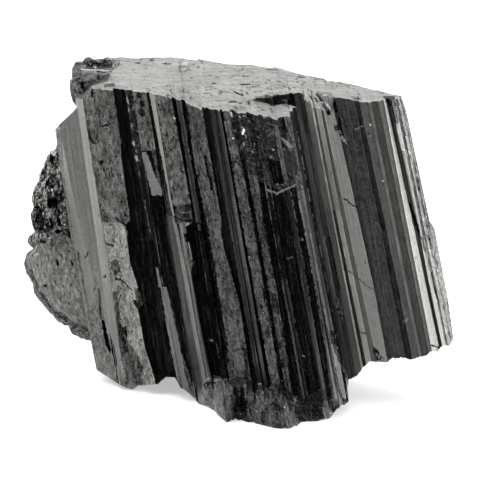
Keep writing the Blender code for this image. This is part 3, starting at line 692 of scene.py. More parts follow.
def front_grid():
    """Page positions of the front as (columns, levels), and how far each column stands proud."""
    edges = [face[0] for face in FACES] + [RIGHT_END]
    levels = np.linspace(0, 1, BODY_LEVELS)
    columns = []
    for number, (edge, left, right, _) in enumerate(FACES):
        after = edges[number + 1]
        last = number == len(FACES) - 1
        width = along(after, LEAN_ROW) - along(edge, LEAN_ROW)
        riser = 0 if last or right == FACES[number + 1][1] else WALL
        parts = max(int(round(width / FRONT_STEP)), 1)
        for k in range(parts + 1 if last or riser else parts):
            share = k / parts
            proud = mix(left, right, share)
            x_top = mix(edge[0][1], after[0][1] - riser, share)
            x_foot = mix(edge[-1][1], after[-1][1] - riser, share)
            top_depth = front_depth(x_top, TOP_ROW) - proud
            top_row = row_of(TOP_HEIGHT - rim_drop(x_top), top_depth)
            row = mix(top_row, foot_row(np.array(x_foot)), levels)
            x = mix(along(edge, row), along(after, row) - riser, share)
            columns.append((x, row, proud))
    x, row, proud = (np.array(values) for values in zip(*columns))
    return x, row, proud[:, None], levels


# How ragged the borders of the front faces are, across the page
RAGGED = ((130, 0.7), (150, 1.0), (190, 1.0), (200, 2.0), (296, 2.0), (310, 0.8), (330, 0.3))


def face_number(x, row):
    """Which front face these page points are on."""
    return sum((along(face[0], row) <= x).astype(int) for face in FACES[1:])


def calm_ends(levels):
    """0 at the top and foot of a face, where it meets its neighbours, and 1 in between."""
    return ramp(levels, 0, 0.012) * ramp(1 - levels, 0, 0.03)


def looks(number, row):
    """Finish and shade of the front at these rows of these faces."""
    kinds, shades = np.zeros(row.shape, int), np.zeros(row.shape)
    for k in range(len(FACES)):
        kinds[number == k], shades[number == k] = face_look(k, row[number == k])
    return kinds, shades


def painted_edge_highlights(x, row):
    """Painted highlights: bright lines, here and there, along the face borders that stand proud of their
    neighbour.
    """
    bright = np.zeros(x.shape)
    broken = ramp(rubble(x / 20, row / 12, 94, 3), -0.1, 0.35)
    for (_, _, before, _), (edge, after, _, _) in zip(FACES, FACES[1:]):
        side = x - along(edge, row)
        if before < after:
            bright += np.where((side > 0) & (side < 1.0), broken, 0)
        elif before > after:
            bright += np.where((side > -1.3) & (side < -0.4), broken, 0)
    return bright


def front_finish(x, row):
    """Finish, shade and extra height of the front at these page points."""
    ragged = x + along(RAGGED, x) * rubble(x / 2.4, row / 4.5, 91, 3)
    kinds, shades = looks(face_number(ragged, row), row)
    # painted highlights along the proud face borders, laid over the shade
    worn = painted_edge_highlights(x, row)
    shades = shades * (1 + 0.45 * worn) + 0.8 * worn
    lift = np.zeros(x.shape)
    bent_x = x + 0.8 * rubble(x / 3, row / 3, 92, 3)
    bent_row = row + 1.1 * rubble(x / 3, row / 3, 93, 3)
    for polygon, kind, shade, height in PATCHES:
        within = inside(polygon, bent_x, bent_row)
        kinds[within], shades[within], lift[within] = kind, shade, height
    return kinds, shades, lift


def add_front(materials):
    """The striated front, in three pieces. Returns them and its page positions."""
    x, row, proud, levels = front_grid()
    finish, _, lift = front_finish(x, row)
    broken = ramp(row - along(FOOT_BREAK, x), -5, 5)
    lumps = 2.2 * rubble(x / 9, row / 9, 13) + 1.2 * rubble(x / 3, row / 3, 14)
    out = mix(proud, lumps, broken) * np.where(levels < 1, 1, 0)
    bumps = relief(finish, x, row) + lift + foot_swell(x, row)
    depth = front_depth(x, row) - out - bumps * calm_ends(levels)
    mid_x, mid_row = centres(x), centres(row)
    kinds, shades, _ = front_finish(mid_x, mid_row)
    # the risers between two faces are as dark as the darker of them
    riser = (np.diff(x[:, -1]) < 1.1 * WALL) & (np.abs(np.diff(proud[:, 0])) > 0.9)
    before, after = (looks(face_number(mid_x[riser] + way, mid_row[riser]), mid_row[riser])[1]
                     for way in (-WALL, WALL))
    shades[riser] = np.minimum(before, after)
    kinds[riser] = np.where(shades[riser] < 1.5, GLOSS, LINES)
    kinds, shades = weathered(kinds, shades, mid_x, mid_row)
    thirds = [k * (len(x) - 1) // 3 for k in range(4)]
    pieces = []
    for name, first, last in zip(("left", "middle", "right"), thirds, thirds[1:]):
        shell = Shell()
        block = slice(first, last + 1)
        numbers = shell.add_points(x[block], row[block], depth[block])
        shell.add_grid(numbers, kinds[first:last], shades[first:last])
        pieces.append(shell.build("crystal_front_" + name, materials))
    return pieces, x, row, depth


PIT_SHADE = 0.15
SHADE_LIMITS, CRUST_LIMITS = (0.1, 95), (0.3, 60)


def weathered(kinds, shades, x, row):
    """Finishes and shades, uneven: with lines, blotches, grit, flakes, black pits, painted glints and
    highlights, and painted shade in the creases of the chips.
    """
    _, large, large_edge = chips(x / 7, row / 16, 0.0)
    _, small, small_edge = chips(x / 2.6, row / 4.6, 20.0)
    _, grain, grain_edge = chips(x / 2.2, row / 2.4, 60.0)
    blotch = rubble(x / 6, row / 9, 21)
    grit = rubble(x / 1.15, row / 1.8, 28, 2)
    flake = rubble(x / 1.8, row / 11, 29, 2)
    pit = ramp(rubble(x / 1.5, row / 6.5, 30, 2) - 0.006 * shades, 0.44, 0.56)
    rare_pit = ramp(rubble(x / 1.6, row / 2.6, 36, 2), 0.58, 0.66)
    # painted glints: small bright specks on the rough faces
    painted_glint = ramp(rubble(x / 1.1, row / 1.7, 31, 2), 0.5, 0.65)
    fine = ripple(x / 0.8, row / 75, 23)
    wide = ripple(x / 2.3, row / 160, 24)
    # thin lines: on the glossy faces they are painted highlights on the striations, on the satin faces
    # darker lines
    thread = ramp(ripple(x / 0.9, row / 24, 25), 0.3, 0.9)
    crack = ramp(np.abs(rubble(x / 8, row / 15, 27, 3)), 0, 0.05)
    # darker along the chip edges, which on the front are the steps of the relief: painted shade in those
    # creases; and darker along cracks
    crease_shade_and_cracks = (0.85 + 0.15 * large_edge) * (0.85 + 0.15 * small_edge) * (0.45 + 0.55 * crack)
    even = np.clip(9 / shades, 0.4, 1)
    tones = 1.0 + even * (0.22 * large + 0.22 * small + 0.45 * blotch)
    crumbs = np.maximum(0.9 + 1.2 * grain + 0.7 * blotch + 0.9 * grit, 0.06)
    crumbs = crumbs * (0.3 + 0.7 * grain_edge)
    satin = 0.15 * fine + 0.07 * wide + 0.09 * blotch + 0.36 * grit - 0.15 * thread
    broken = 0.6 * grit + 0.55 * flake
    vivid = np.clip(9 / shades, 0.6, 4)
    factor = {
        GLOSS: 0.5 + 6.0 * thread * (1 + grit) + 4 * np.maximum(grit, 0),
        SHEEN: np.maximum(1 + vivid * satin, 0.15),
        ROUGH: np.maximum(tones + vivid * broken, 0.1) * crease_shade_and_cracks * (1 - 0.8 * pit) + 0.6 * painted_glint,
        LINES: np.maximum(1 + 1.1 * fine + 0.5 * wide + 0.4 * grit, 0.06),
        # the brightest crumbs of the grain are painted glints
        GRAIN: np.where(grain > 0.93, 9.0, crumbs),
    }
    out = shades
    for kind, values in factor.items():
        out = np.where(kinds == kind, shades * values, out)
    worn = (kinds == SHEEN) | (kinds == LINES)
    out = np.where(worn, out * (1 - 0.6 * rare_pit), out)
    black = (kinds == ROUGH) & ((pit > 0.6) | (crack < 0.3))
    return np.where(black, GLOSS, kinds), np.clip(np.where(black, PIT_SHADE, out), *SHADE_LIMITS)


def add_back(materials):
    """The striated back of the body, as a piece. Returns it and its page positions."""
    levels = np.linspace(0, 1, BODY_LEVELS)
    stations, kinds, shades = [], [], []
    for (x0, top0, foot0), (x1, top1, foot1), (kind, shade) in zip(BACK, BACK[1:], BACK_FINISH):
        parts = max(int(round(math.hypot(x1 - x0, top1 - top0) / BACK_STEP)), 1)
        for k in range(parts):
            share = k / parts
            stations.append((mix(x0, x1, share), mix(top0, top1, share), mix(foot0, foot1, share)))
            kinds.append(kind)
            shades.append(shade)
    stations.append(BACK[-1])
    x, top, foot = np.array(stations).T[:, :, None]
    row = mix(row_of(TOP_HEIGHT, top), row_of(foot_height(x), foot), levels)
    finish = np.array(kinds + kinds[-1:])[:, None]
    depth = mix(top, foot, levels) + relief(finish, x, row, 40) * calm_ends(levels)
    x = x + 0 * row
    shell = Shell()
    numbers = shell.add_points(x, row, depth)
    mid_x, mid_row = centres(x), centres(row)
    plain = np.zeros(mid_x.shape)
    kinds = np.array(kinds)[:, None] + plain.astype(int)
    kinds, shade = weathered(kinds, np.array(shades)[:, None] + plain, mid_x, mid_row)
    shell.add_grid(numbers, kinds, shade, turned=True)
    return shell.build("crystal_back", materials), x, row, depth


def top_look(x, depth, from_rim):
    """Shade of the top break: pale, with darker lines, dashes and flecks along its layers, and a painted
    highlight along its front rim.
    """
    layer = ripple(x / 30, depth / 2.4, 31) + 0.7 * ripple(x / 12, depth / 1.8, 32)
    tone, small = chips(x / 26, depth / 14, 35)[1], chips(x / 9, depth / 7, 36)[1]
    worn = ramp(rubble(x / 40, depth / 30, 39, 2), -0.2, 0.3)
    dash = ramp(rubble(x / 4.5, depth / 4.2, 33, 2), 0.3, 0.42) * (0.5 + 0.5 * worn)
    pale = ramp(rubble(x / 6, depth / 5, 38, 2), 0.3, 0.55)
    grit = rubble(x / 1.5, depth / 4, 34, 2)
    # painted highlight: lighter in the last few units before the front rim
    rim_highlight = ramp(-from_rim, -5, -1)
    shade = 1.0 + 0.14 * layer + 0.10 * tone + 0.08 * small + 0.14 * rubble(x / 12, depth / 9, 34)
    return TOP_SHADE * (shade + 0.22 * grit + 0.3 * pale + 0.25 * rim_highlight) * (1 - 0.75 * dash)


def bent_marks(x, depth):
    """Where to look up the marks on the top break, so that their edges are wavy."""
    return x + 0.8 * ripple(x / 2, depth / 3, 97)


def top_grid(x, rim_depth, back_depth):
    """The top break as rings from its rim to the back: a shelf, its rise and the layered break."""
    shelf = np.minimum(rim_depth + along(SHELF_WIDTH, x), mix(rim_depth, back_depth, 0.5))
    rise = np.minimum(shelf + along(RISE_WIDTH, x), mix(rim_depth, back_depth, 0.8))
    low, high = TOP_HEIGHT - along(RIM_DROP, x), TOP_HEIGHT + 0 * x
    depths, heights = [rim_depth], [TOP_HEIGHT - rim_drop(x)]
    for near, far, near_height, far_height, rings, short in (
        (rim_depth, shelf, low, low, SHELF_RINGS, 0),
        (shelf, rise, low, high, RISE_RINGS, 0),
        (rise, back_depth, high, high, TOP_RINGS, 0.5),  # stops half a ring short of the back
    ):
        for k in range(1, rings + 1):
            depths.append(mix(near, far, k / (rings + short)))
            heights.append(mix(near_height, far_height, k / rings))
    depth, height = np.array(depths).T, np.array(heights).T
    x = x[:, None] + 0 * depth
    row = row_of(height, depth)
    layers = 0.7 * chips(x / 26, depth / 14, 35)[0] + 0.4 * chips(x / 9, depth / 7, 36)[0]
    bumps = layers + 0.6 * rubble(x / 7, depth / 5, 42)
    bent = bent_marks(x, depth)
    for polygon, _, lift in TOP_MARKS:
        bumps = bumps + np.where(inside(polygon, bent, row), lift, 0)
    bumps = bumps - np.where(inside(CREVICE, x, row), 4, 0)
    edge = ramp(depth - rim_depth[:, None], 0, 3) * ramp(back_depth - rise, 2, 30)[:, None]
    return x, depth, height + bumps * edge


def top_finish(x, row, depth, from_rim):
    """Finish and shade of the top break: with its marks, its crevice painted dark as shadow, crusted
    corner and patches.
    """
    shade, bent = top_look(x, depth, from_rim), bent_marks(x, depth)
    for polygon, value, _ in TOP_MARKS:
        shade = np.where(inside(polygon, bent, row), value, shade)
    kinds = np.where(shade < 0.45 * TOP_SHADE, ROUGH, BREAK)
    crusted = inside(CRUSTED_CORNER, x + ripple(x / 2, row / 2, 89), row)
    kinds = np.where(crusted, ROUGH, kinds)
    shade = np.where(crusted, knob_crust(x, row, x)[2], shade)
    for polygon, _, value, _ in PATCHES:
        within = inside(polygon, x, row) & (x > RIGHT_PART)
        kinds, shade = np.where(within, ROUGH, kinds), np.where(within, value, shade)
    ring = np.arange(x.shape[1])
    riser = (ring >= SHELF_RINGS) & (ring < SHELF_RINGS + RISE_RINGS)
    corner = riser & (x < RISE_CORNER) | (x < TOP_CORNER)
    crevice = inside(CREVICE, x, row)
    # the crevice is painted nearly black, as painted shadow
    shade = np.where(crevice, 0.1, np.where(corner & ~crusted, 0.5 * shade, shade))
    return np.where(crevice | corner, ROUGH, kinds), shade


def add_top(shell, x, rim_depth, back):
    """The top break, closed against the back's upper edge."""
    back_depth = np.maximum(along([(at, top) for at, top, _ in BACK], x), rim_depth)
    x, depth, height = top_grid(x, rim_depth, back_depth)
    numbers = shell.add_points(x, row_of(height, depth), depth)
    mid_x, mid_depth = centres(x), centres(depth)
    from_rim = mid_depth - centres(rim_depth[:, None] + 0 * depth)
    kinds, shades = top_finish(mid_x, row_of(centres(height), mid_depth), mid_depth, from_rim)
    shell.add_grid(numbers, kinds, shades, turned=True)
    shell.zip_chains(numbers[:, -1], back, BREAK, TOP_SHADE, upward=True)
    for end, corner_number in ((0, back[0]), (-1, back[-1])):
        fan = np.array([(a, b, corner_number) for a, b in zip(numbers[end], numbers[end][1:])])
        shell.add_faces(fan if end == 0 else fan[:, ::-1], ROUGH, 5)


def add_foot(shell, x, row, depth, back):
    """The broken underside, level from front to back."""
    back_depth = along([(at, foot) for at, _, foot in BACK], x)
    inner = np.array([mix(depth, back_depth, k / (FOOT_RINGS + 1)) for k in range(FOOT_RINGS + 1)]).T
    bumps = np.abs(rubble(x[:, None] / 9, inner / 9, 51)) * 1.5
    bumps[:, 0] = 0
    height = np.maximum(height_of(row, depth), 0)[:, None] + bumps
    numbers = shell.add_points(x[:, None] + 0 * inner, row_of(height, inner), inner)
    mid = rubble(x[:-1, None] / 5, inner[:-1, :-1] / 5, 52)
    shell.add_grid(numbers, ROUGH, 4 + 2 * mid)
    shell.zip_chains(numbers[:, -1], back, ROUGH, 4, upward=False)


def body(materials):
    """The body: its front in three pieces, its back, and its top, ends and foot in one more."""
    pieces, x, row, depth = add_front(materials)
    back, back_x, back_row, back_depth = add_back(materials)
    shell = Shell()
    rim = shell.add_points(back_x[:, 0], back_row[:, 0], back_depth[:, 0])
    foot = shell.add_points(back_x[:, -1], back_row[:, -1], back_depth[:, -1])
    add_top(shell, x[:, 0], depth[:, 0], rim)
    add_foot(shell, x[:, -1], row[:, -1], depth[:, -1], foot)
    for end in (0, -1):
        front_edge = shell.add_points(x[end], row[end], depth[end])
        back_edge = shell.add_points(back_x[end], back_row[end], back_depth[end])
        sides = (back_edge, front_edge) if end == 0 else (front_edge, back_edge)
        shell.add_grid(np.stack(sides), LINES, 8)
    return pieces + [back, shell.build("crystal_body", materials)]


# Rough borders, lighter lines and slits of the flank
FLANK_PATCHES = (
    (seen((56, 128), (61, 131), (63, 170), (69, 215), (76, 262), (84, 310), (92, 352), (96, 380),
          (90, 374), (80, 330), (70, 280), (62, 228), (57, 175)), ROUGH, 9, 0),
    (seen((61, 196), (66, 200), (72, 240), (69, 240)), SHEEN, 13, 0.3),
    (seen((71, 205), (73, 207), (80, 262), (78, 262)), SHEEN, 13, 0.3),
    (seen((66, 222), (69, 232), (75, 268), (72, 262)), ROUGH, 7, -0.3),
    (seen((75, 250), (78, 252), (92, 330), (89, 330)), ROUGH, 8, 0.2),
    (seen((87, 345), (89, 318), (95, 262), (99, 290), (108, 345), (117, 386), (104, 386)), ROUGH, 11.5,
     0),
    (seen((97.4, 288), (99.2, 288), (100.8, 318), (99.4, 320), (98, 305)), ROUGH, 4, -0.8),
    (seen((100.5, 320), (102.5, 320), (106, 332), (110, 350), (108.5, 353), (105, 345), (102.5, 332)),
     GLOSS, 0.2, -4),
    (seen((109, 333), (110.6, 333), (114, 346), (116.5, 362), (118.5, 382), (116.6, 383), (113.6, 364),
          (110.6, 350)), GLOSS, 0.2, -4),
    (seen((86, 252), (87.5, 250), (86, 256), (84, 258)), GLOSS, 0.7, -1),
)


def flank_grid(edges, step):
    """Page positions, finishes and shades of one side of the flank, as (columns, levels)."""
    levels = np.linspace(0, 1, FLANK_LEVELS)
    columns = []
    for left, right in zip(edges, edges[1:]):
        edge, after = left[0], right[0]
        parts = max(int(round(abs(along(after, 240) - along(edge, 240)) / step)), 1)
        for k in range(parts + (right is edges[-1])):
            share = k / parts
            top_depth, foot_depth, first_row, last_row = (
                mix(left[n], right[n], share) for n in range(1, 5)
            )
            row = mix(first_row, last_row, levels)
            x = mix(along(edge, row), along(after, row), share)
            columns.append((x, row, mix(top_depth, foot_depth, levels), *left[5]))
    x, row, depth, kinds, shades = (np.array(values) for values in zip(*columns))
    return x, row, depth, kinds[:, None] + 0 * row.astype(int), shades[:, None] + 0 * row


def bent_flank(x, row):
    """Where to look up the patches of the flank, so that their edges are ragged."""
    return x + 0.8 * rubble(x / 2.4, row / 4, 95, 3)


def add_flank_side(shell, edges, step, front):
    """One side of the flank, with relief and patches at the front. Returns its vertex numbers."""
    x, row, depth, kinds, shades = flank_grid(edges, step)
    mid_x, mid_row = centres(x), centres(row)
    face_kinds, face_shades = kinds[:-1, :-1], shades[:-1, :-1]
    if front:
        bent, mid_bent = bent_flank(x, row), bent_flank(mid_x, mid_row)
        depth = depth - relief(kinds, x, row, 60) * 1.5 * ramp(np.linspace(0, 1, FLANK_LEVELS), 0, 0.012)
        for polygon, kind, shade, lift in FLANK_PATCHES:
            depth = depth - np.where(inside(polygon, bent, row), lift, 0)
            within = inside(polygon, mid_bent, mid_row)
            face_kinds = np.where(within, kind, face_kinds)
            face_shades = np.where(within, shade, face_shades)
    numbers = shell.add_points(x, row, depth)
    face_kinds, face_shades = weathered(face_kinds, face_shades, mid_x, mid_row)
    shell.add_grid(numbers, face_kinds, face_shades, turned=not front)
    return numbers


def flank(materials):
    """The lower crystal on the left, its back sunk in the body and the lump."""
    shell = Shell()
    front = add_flank_side(shell, FLANK_FRONT, FLANK_STEP, front=True)
    back = add_flank_side(shell, FLANK_BACK, FLANK_BACK_STEP, front=False)
    for first, second in ((front[-1], back[-1]), (back[0], front[0])):
        shell.add_grid(np.stack([first, second]), ROUGH, 12)
    shell.zip_chains(front[:, 0], back[:, 0], ROUGH, 12, upward=True)
    shell.zip_chains(front[:, -1], back[:, -1], ROUGH, 8, upward=False)
    return shell.build("crystal_flank", materials)


# Pits in the crust of the lump: an area and its depth; each is also painted dark, as painted shade
LUMP_PITS = (
    (((51, 200), (58, 197), (60.5, 200), (59, 208), (52, 209), (49, 205)), 5),
    (((50, 218), (52, 218), (52.5, 230), (50.5, 229)), 4),
    (((57.5, 217), (60, 219), (60, 226), (57.5, 225)), 4),
    (((33, 205), (42, 206), (45, 218), (42, 230), (34, 228), (31, 216)), 3),
    *ovals((63.8, 185, 0.9, 3.2, 3), (68.5, 186, 0.7, 2.4, 3), (67, 233, 0.9, 5, 3), (49, 170, 2.2, 4, 3),
           (60, 158, 1.5, 5, 3), (41, 241, 3.2, 1.4, 2), (56, 231, 2.6, 2, 3), (52, 262, 1.2, 4, 1.5),
           (63, 284, 1.5, 1, 1), (37, 285, 1.5, 1.5, 1.5), (76, 278, 2.6, 1, 1), (66, 262, 1, 2.6, 1)),
)

# The lump without its crumbly rim
LUMP_MIDDLE = tuple(np.mean(SIDE_LUMP["outline"], 0))
LUMP_CORE = tuple(tuple(mix(middle, at, 0.86) for middle, at in zip(LUMP_MIDDLE, corner))
                  for corner in SIDE_LUMP["outline"])
LUMP_SHADE, KNOB_SHADE = 17.5, 9  # of the crusts, on average
BLACK = 0.6  # crust of less shade than this is glossy
BACK_START = -60  # where the crust of a lump's back begins, so that it differs from the front's


def lump_crust(x, row, across):
    """Height, finish and shade of the crust: knobbly above, with painted glints and painted shade between
    its knobs and in its pockets and pits, finer and greyer below.
    """
    low = ramp(row + 6 * ripple(x / 9, row / 9, 76), 228, 252)
    coarse, tone, edge = chips(across / 5.0, row / 4.2, 71)
    small, spark, small_edge = chips(across / 2.2, row / 2.0, 72)
    pocket = ramp(rubble(across / 7, row / 8, 79, 3) + ramp(-x, -47, -40) * 0.25, 0.12, 0.3)
    knobs = 2.8 * coarse + 1.5 * small + 1.2 * rubble(across / 10, row / 8, 73) - 2.5 * pocket
    crust = LUMP_SHADE * (1 + 0.8 * tone + 0.6 * small)
    # painted shade: darker at the chip edges, the steps between the knobs, and in the sunken pockets;
    # painted glints where spark is high
    crust = crust * (0.1 + 0.9 * edge) * (0.3 + 0.7 * small_edge)
    crust = np.where(spark > 0.84, 38, crust * (1 - 0.85 * pocket))
    fine, fine_tone, fine_edge = chips(across / 3.0, row / 4.4, 74)
    flake = rubble((across + 0.3 * row) / 1.5, row / 6, 75, 2)
    grit = rubble(across / 1.3, row / 1.6, 78, 2)
    pit = ramp(rubble(across / 2.0, row / 3.4, 80, 2), 0.44, 0.58)
    # painted shade in the sunken pits and at the edges of the fine chips
    smooth = LUMP_SHADE * (1.0 + 0.2 * fine_tone + 0.5 * flake + 0.35 * grit) * (1 - 0.65 * pit)
    smooth = smooth * (0.75 + 0.25 * fine_edge)
    rim = ~inside(LUMP_CORE, x + 3 * ripple(x / 5, row / 5, 98), row) & (x < 80)
    smooth = np.where(rim, smooth * (0.6 + 0.5 * spark) * (0.4 + 0.6 * small_edge), smooth)
    level = 0.9 * fine + 1.1 * rubble(across / 9, row / 6, 77) - 0.8 * pit
    height = mix(knobs, np.where(rim, level + 1.6 * small, level), low)
    shade = mix(crust, smooth, low)
    for polygon, deep in LUMP_PITS:
        within = inside(polygon, x, row)
        height, shade = height - np.where(within, deep, 0), np.where(within, 0.5, shade)
    kinds = np.where(shade < BLACK, GLOSS, np.where(low > 0.5, ROUGH, GRAIN))
    return height, kinds, np.clip(shade, *CRUST_LIMITS)


# Hollows, ledges and crumbs of the broken corner: an area, its shade and its height. The sunken hollows
# are painted dark as shade, and the bright ledge line is a painted highlight with a line of painted shade
# above it.
KNOB_MARKS = (
    (seen((80, 67.8), (95, 68.2), (109, 68), (109, 69.2), (95, 69.3), (80, 69)), 0.3, -1),
    (seen((80, 69), (95, 69.3), (109, 69.1), (109, 69.9), (95, 70.2), (80, 69.8)), 24, 0.6),
    (seen((75, 65), (81, 65.5), (81, 70), (76, 71)), 3, 0),
    (seen((95.5, 70.5), (99, 70.5), (98.5, 75), (99.5, 80), (96.5, 81), (95.8, 76)), 0.4, -4),
    (seen((98, 70.8), (109, 72.4), (105, 75), (98.5, 74)), 0.4, -4),
    (seen((99, 75), (105, 75), (100, 81)), 4, -2),
    (seen((75, 78.5), (79, 77.5), (82, 80), (79.5, 82), (76, 81)), 0.5, -4),
    (seen((79, 82), (82, 81), (84.5, 84), (84.5, 88), (81.5, 88), (81, 84.5)), 0.5, -4),
    (seen((69, 84), (72, 85), (73.5, 92), (75.5, 98), (76, 103), (72.5, 103), (70.5, 93)), 0.8, -2),
    (seen((81, 89), (82.5, 89), (83, 96), (81.5, 98)), 18, 0.3),
)
CRUMBS = seen((83, 62), (86, 60.5), (91, 60), (98, 61.5), (104, 61), (107, 54), (113, 55), (113, 66),
              (108, 68.7), (82, 68.5))


def knob_crust(x, row, across):
    """Height, finish and shade of the broken corner: grey, with black crumbs along its top, and painted
    shade at its chip edges, pits and pockets.

    The marks and the gloss are on the front alone, where across is above 0.
    """
    crumbs = inside(CRUMBS, x + ripple(x, row, 85), row + 0.8 * ripple(x, row, 86))
    large, tone, edge = chips(across / 8, row / 7, 82)
    small, small_tone, small_edge = chips(across / 2.2, row / 2.0, 83)
    grit = rubble(across / 1.1, row / 1.1, 84, 2)
    pit = ramp(rubble(across / 1.6, row / 2.0, 87, 2), 0.25, 0.4)
    pocket = ramp(rubble(across / 6, row / 5, 90, 3) - ramp(x, 100, 116), 0.0, 0.15)
    grey = KNOB_SHADE * (1.0 + 0.3 * tone + 0.3 * small_tone + 0.7 * grit) * (1 - 0.8 * pit)
    # painted shade: darker at the chip edges, in the sunken pits and in the sunken pockets
    grey = np.maximum(grey * (0.4 + 0.6 * edge) * (0.6 + 0.4 * small_edge) * (1 - 0.8 * pocket), 0.4)
    black = np.where(small_tone > 0.5, 15, 0.4)
    height = large + 0.9 * small * np.where(crumbs, 3, 1) - 0.8 * pit - 2.5 * pocket
    shade = np.where(crumbs, black, grey)
    for polygon, value, lift in KNOB_MARKS:
        within = inside(polygon, x + 0.5 * ripple(x, row, 88), row) & (across > 0)
        height, shade = height + np.where(within, lift, 0), np.where(within, value, shade)
    return height, np.where((shade < BLACK) & (across > 0), GLOSS, ROUGH), np.clip(shade, *CRUST_LIMITS)


def spaced(outline, around, seed):
    """Page points evenly spaced along a closed outline, moved in and out a little."""
    corners = np.array(outline + outline[:1], float)
    length = np.concatenate([[0], np.cumsum(np.hypot(*np.diff(corners, axis=0).T))])
    at = np.linspace(0, length[-1], around, endpoint=False)
    points = np.stack([np.interp(at, length, corners[:, k]) for k in (0, 1)], -1)
    return points + (points - np.mean(outline, 0)) * 0.012 * ripple(at / 3, at * 0, seed)[:, None]


def add_lump(shell, outline, rim, front, back, rough, around, rings, crust):
    """A rough pebble: its outline on the page, crowned to the front and to the back."""
    middle, outer = np.mean(outline, 0), spaced(outline, around, rim)
    edge = shell.add_points(outer[:, 0], outer[:, 1], np.full(around, float(rim)))
    for count, bulge, turned in ((rings[0], -front, False), (rings[1], back, True)):
        share = np.cos(np.linspace(0, math.pi / 2, count + 1))[None, 1:]
        x = mix(middle[0], outer[:, :1], share)
        row = mix(middle[1], outer[:, 1:], share)
        swell = bulge * np.sqrt(1 - share * share)
        # the distance across, measured round the pebble, so that its crust isn't drawn out
        across = x - front + abs(swell) if bulge < 0 else BACK_START - x - swell
        height, _, _ = crust(x, row, across)
        depth = rim + swell + math.copysign(rough / 3, bulge) * height * ramp(1 - share, 0, 0.06)
        numbers = np.concatenate([edge[:, None], shell.add_points(x, row, depth)], 1)
        numbers = np.concatenate([numbers, numbers[:1]])
        middles = ((v + np.roll(v, -1, 0)) / 2 for v in (x, row, across))
        _, kinds, shades = crust(*middles)
        shell.add_grid(numbers[:, :-1], kinds[:, :-1], shades[:, :-1], turned=turned)
        # the last ring is a fan of triangles about the crown
        fan = np.array([(a, numbers[0, -1], b) for a, b in zip(numbers[:, -2], numbers[1:, -2])])
        shell.add_faces(fan[:, ::-1] if turned else fan, kinds[:, -1], shades[:, -1])


def side_growths(materials):
    """The crusted lump on the left and the two knobs on the top left corner."""
    shell = Shell()
    for lump, crust in ((SIDE_LUMP, lump_crust), (CORNER_KNOB, knob_crust), (BACK_KNOB, knob_crust)):
        add_lump(shell, **lump, crust=crust)
    return shell.build("crystal_crust", materials)


MM = 0.001  # in metres
SCHORL_IOR = 1.64
SPECK_SCALE = 2600.0  # fine specks per metre, for the pits and the uneven gloss
NOISE_SPREAD = (0.3, 0.7)  # nearly all of a noise texture's values lie between these
PER_CENT = (0.01003, 0.01, 0.00955)  # the colour of one per cent of shade, a little warm

# The finishes, in the order of the material slots: name, roughness from and to, width and length of
# its streaks, height of its streaks and of its fine pits (these four in mm), how much its colour
# varies, and how strongly it reflects, 0.5 being the full strength of the mineral
MINERALS = (
    ("schorl_glossy_face", 0.12, 0.25, 0.22, 18, 0.02, 0.006, 0.4, 0.5),
    ("schorl_satin_face", 0.3, 0.45, 0.13, 8, 0.02, 0.008, 0.15, 0.5),
    ("schorl_rough_break", 0.45, 0.75, 0.3, 0.8, 0.12, 0.05, 0.4, 0.22),
    ("schorl_fine_striation", 0.25, 0.45, 0.2, 22, 0.06, 0.01, 0.5, 0.5),
    ("schorl_granular_crust", 0.35, 0.6, 0.5, 0.4, 0.25, 0.08, 0.5, 0.35),
    ("schorl_pale_break", 0.35, 0.6, 3.5, 0.35, 0.06, 0.02, 0.12, 0.5),
)


def node_adder(tree):
    """A function that adds a node to this tree, with its links and its values."""

    def add(kind, links=(), **values):
        node = tree.nodes.new("ShaderNode" + kind)
        for key, value in values.items():
            if key in node.inputs:
                node.inputs[key].default_value = value
            else:
                setattr(node, key, value)
        for source, socket in links:
            tree.links.new(source, node.inputs[socket])
        return node

    return add


def ranged(add, source, before, after, curve="LINEAR"):
    """The output of a new node that turns the range before into the range after."""
    node = add("MapRange", [(source, "Value")], interpolation_type=curve)
    for socket, value in zip(("From Min", "From Max", "To Min", "To Max"), before + after):
        node.inputs[socket].default_value = value
    return node.outputs[0]


def new_material(name, roughness, mirror):
    """A Principled material. Returns it with its shader."""
    material = bpy.data.materials.new(name)
    material.use_nodes = True
    shader = material.node_tree.nodes["Principled BSDF"]
    shader.inputs["IOR"].default_value = SCHORL_IOR
    shader.inputs["Roughness"].default_value = roughness
    shader.inputs["Specular IOR Level"].default_value = mirror
    return material, shader


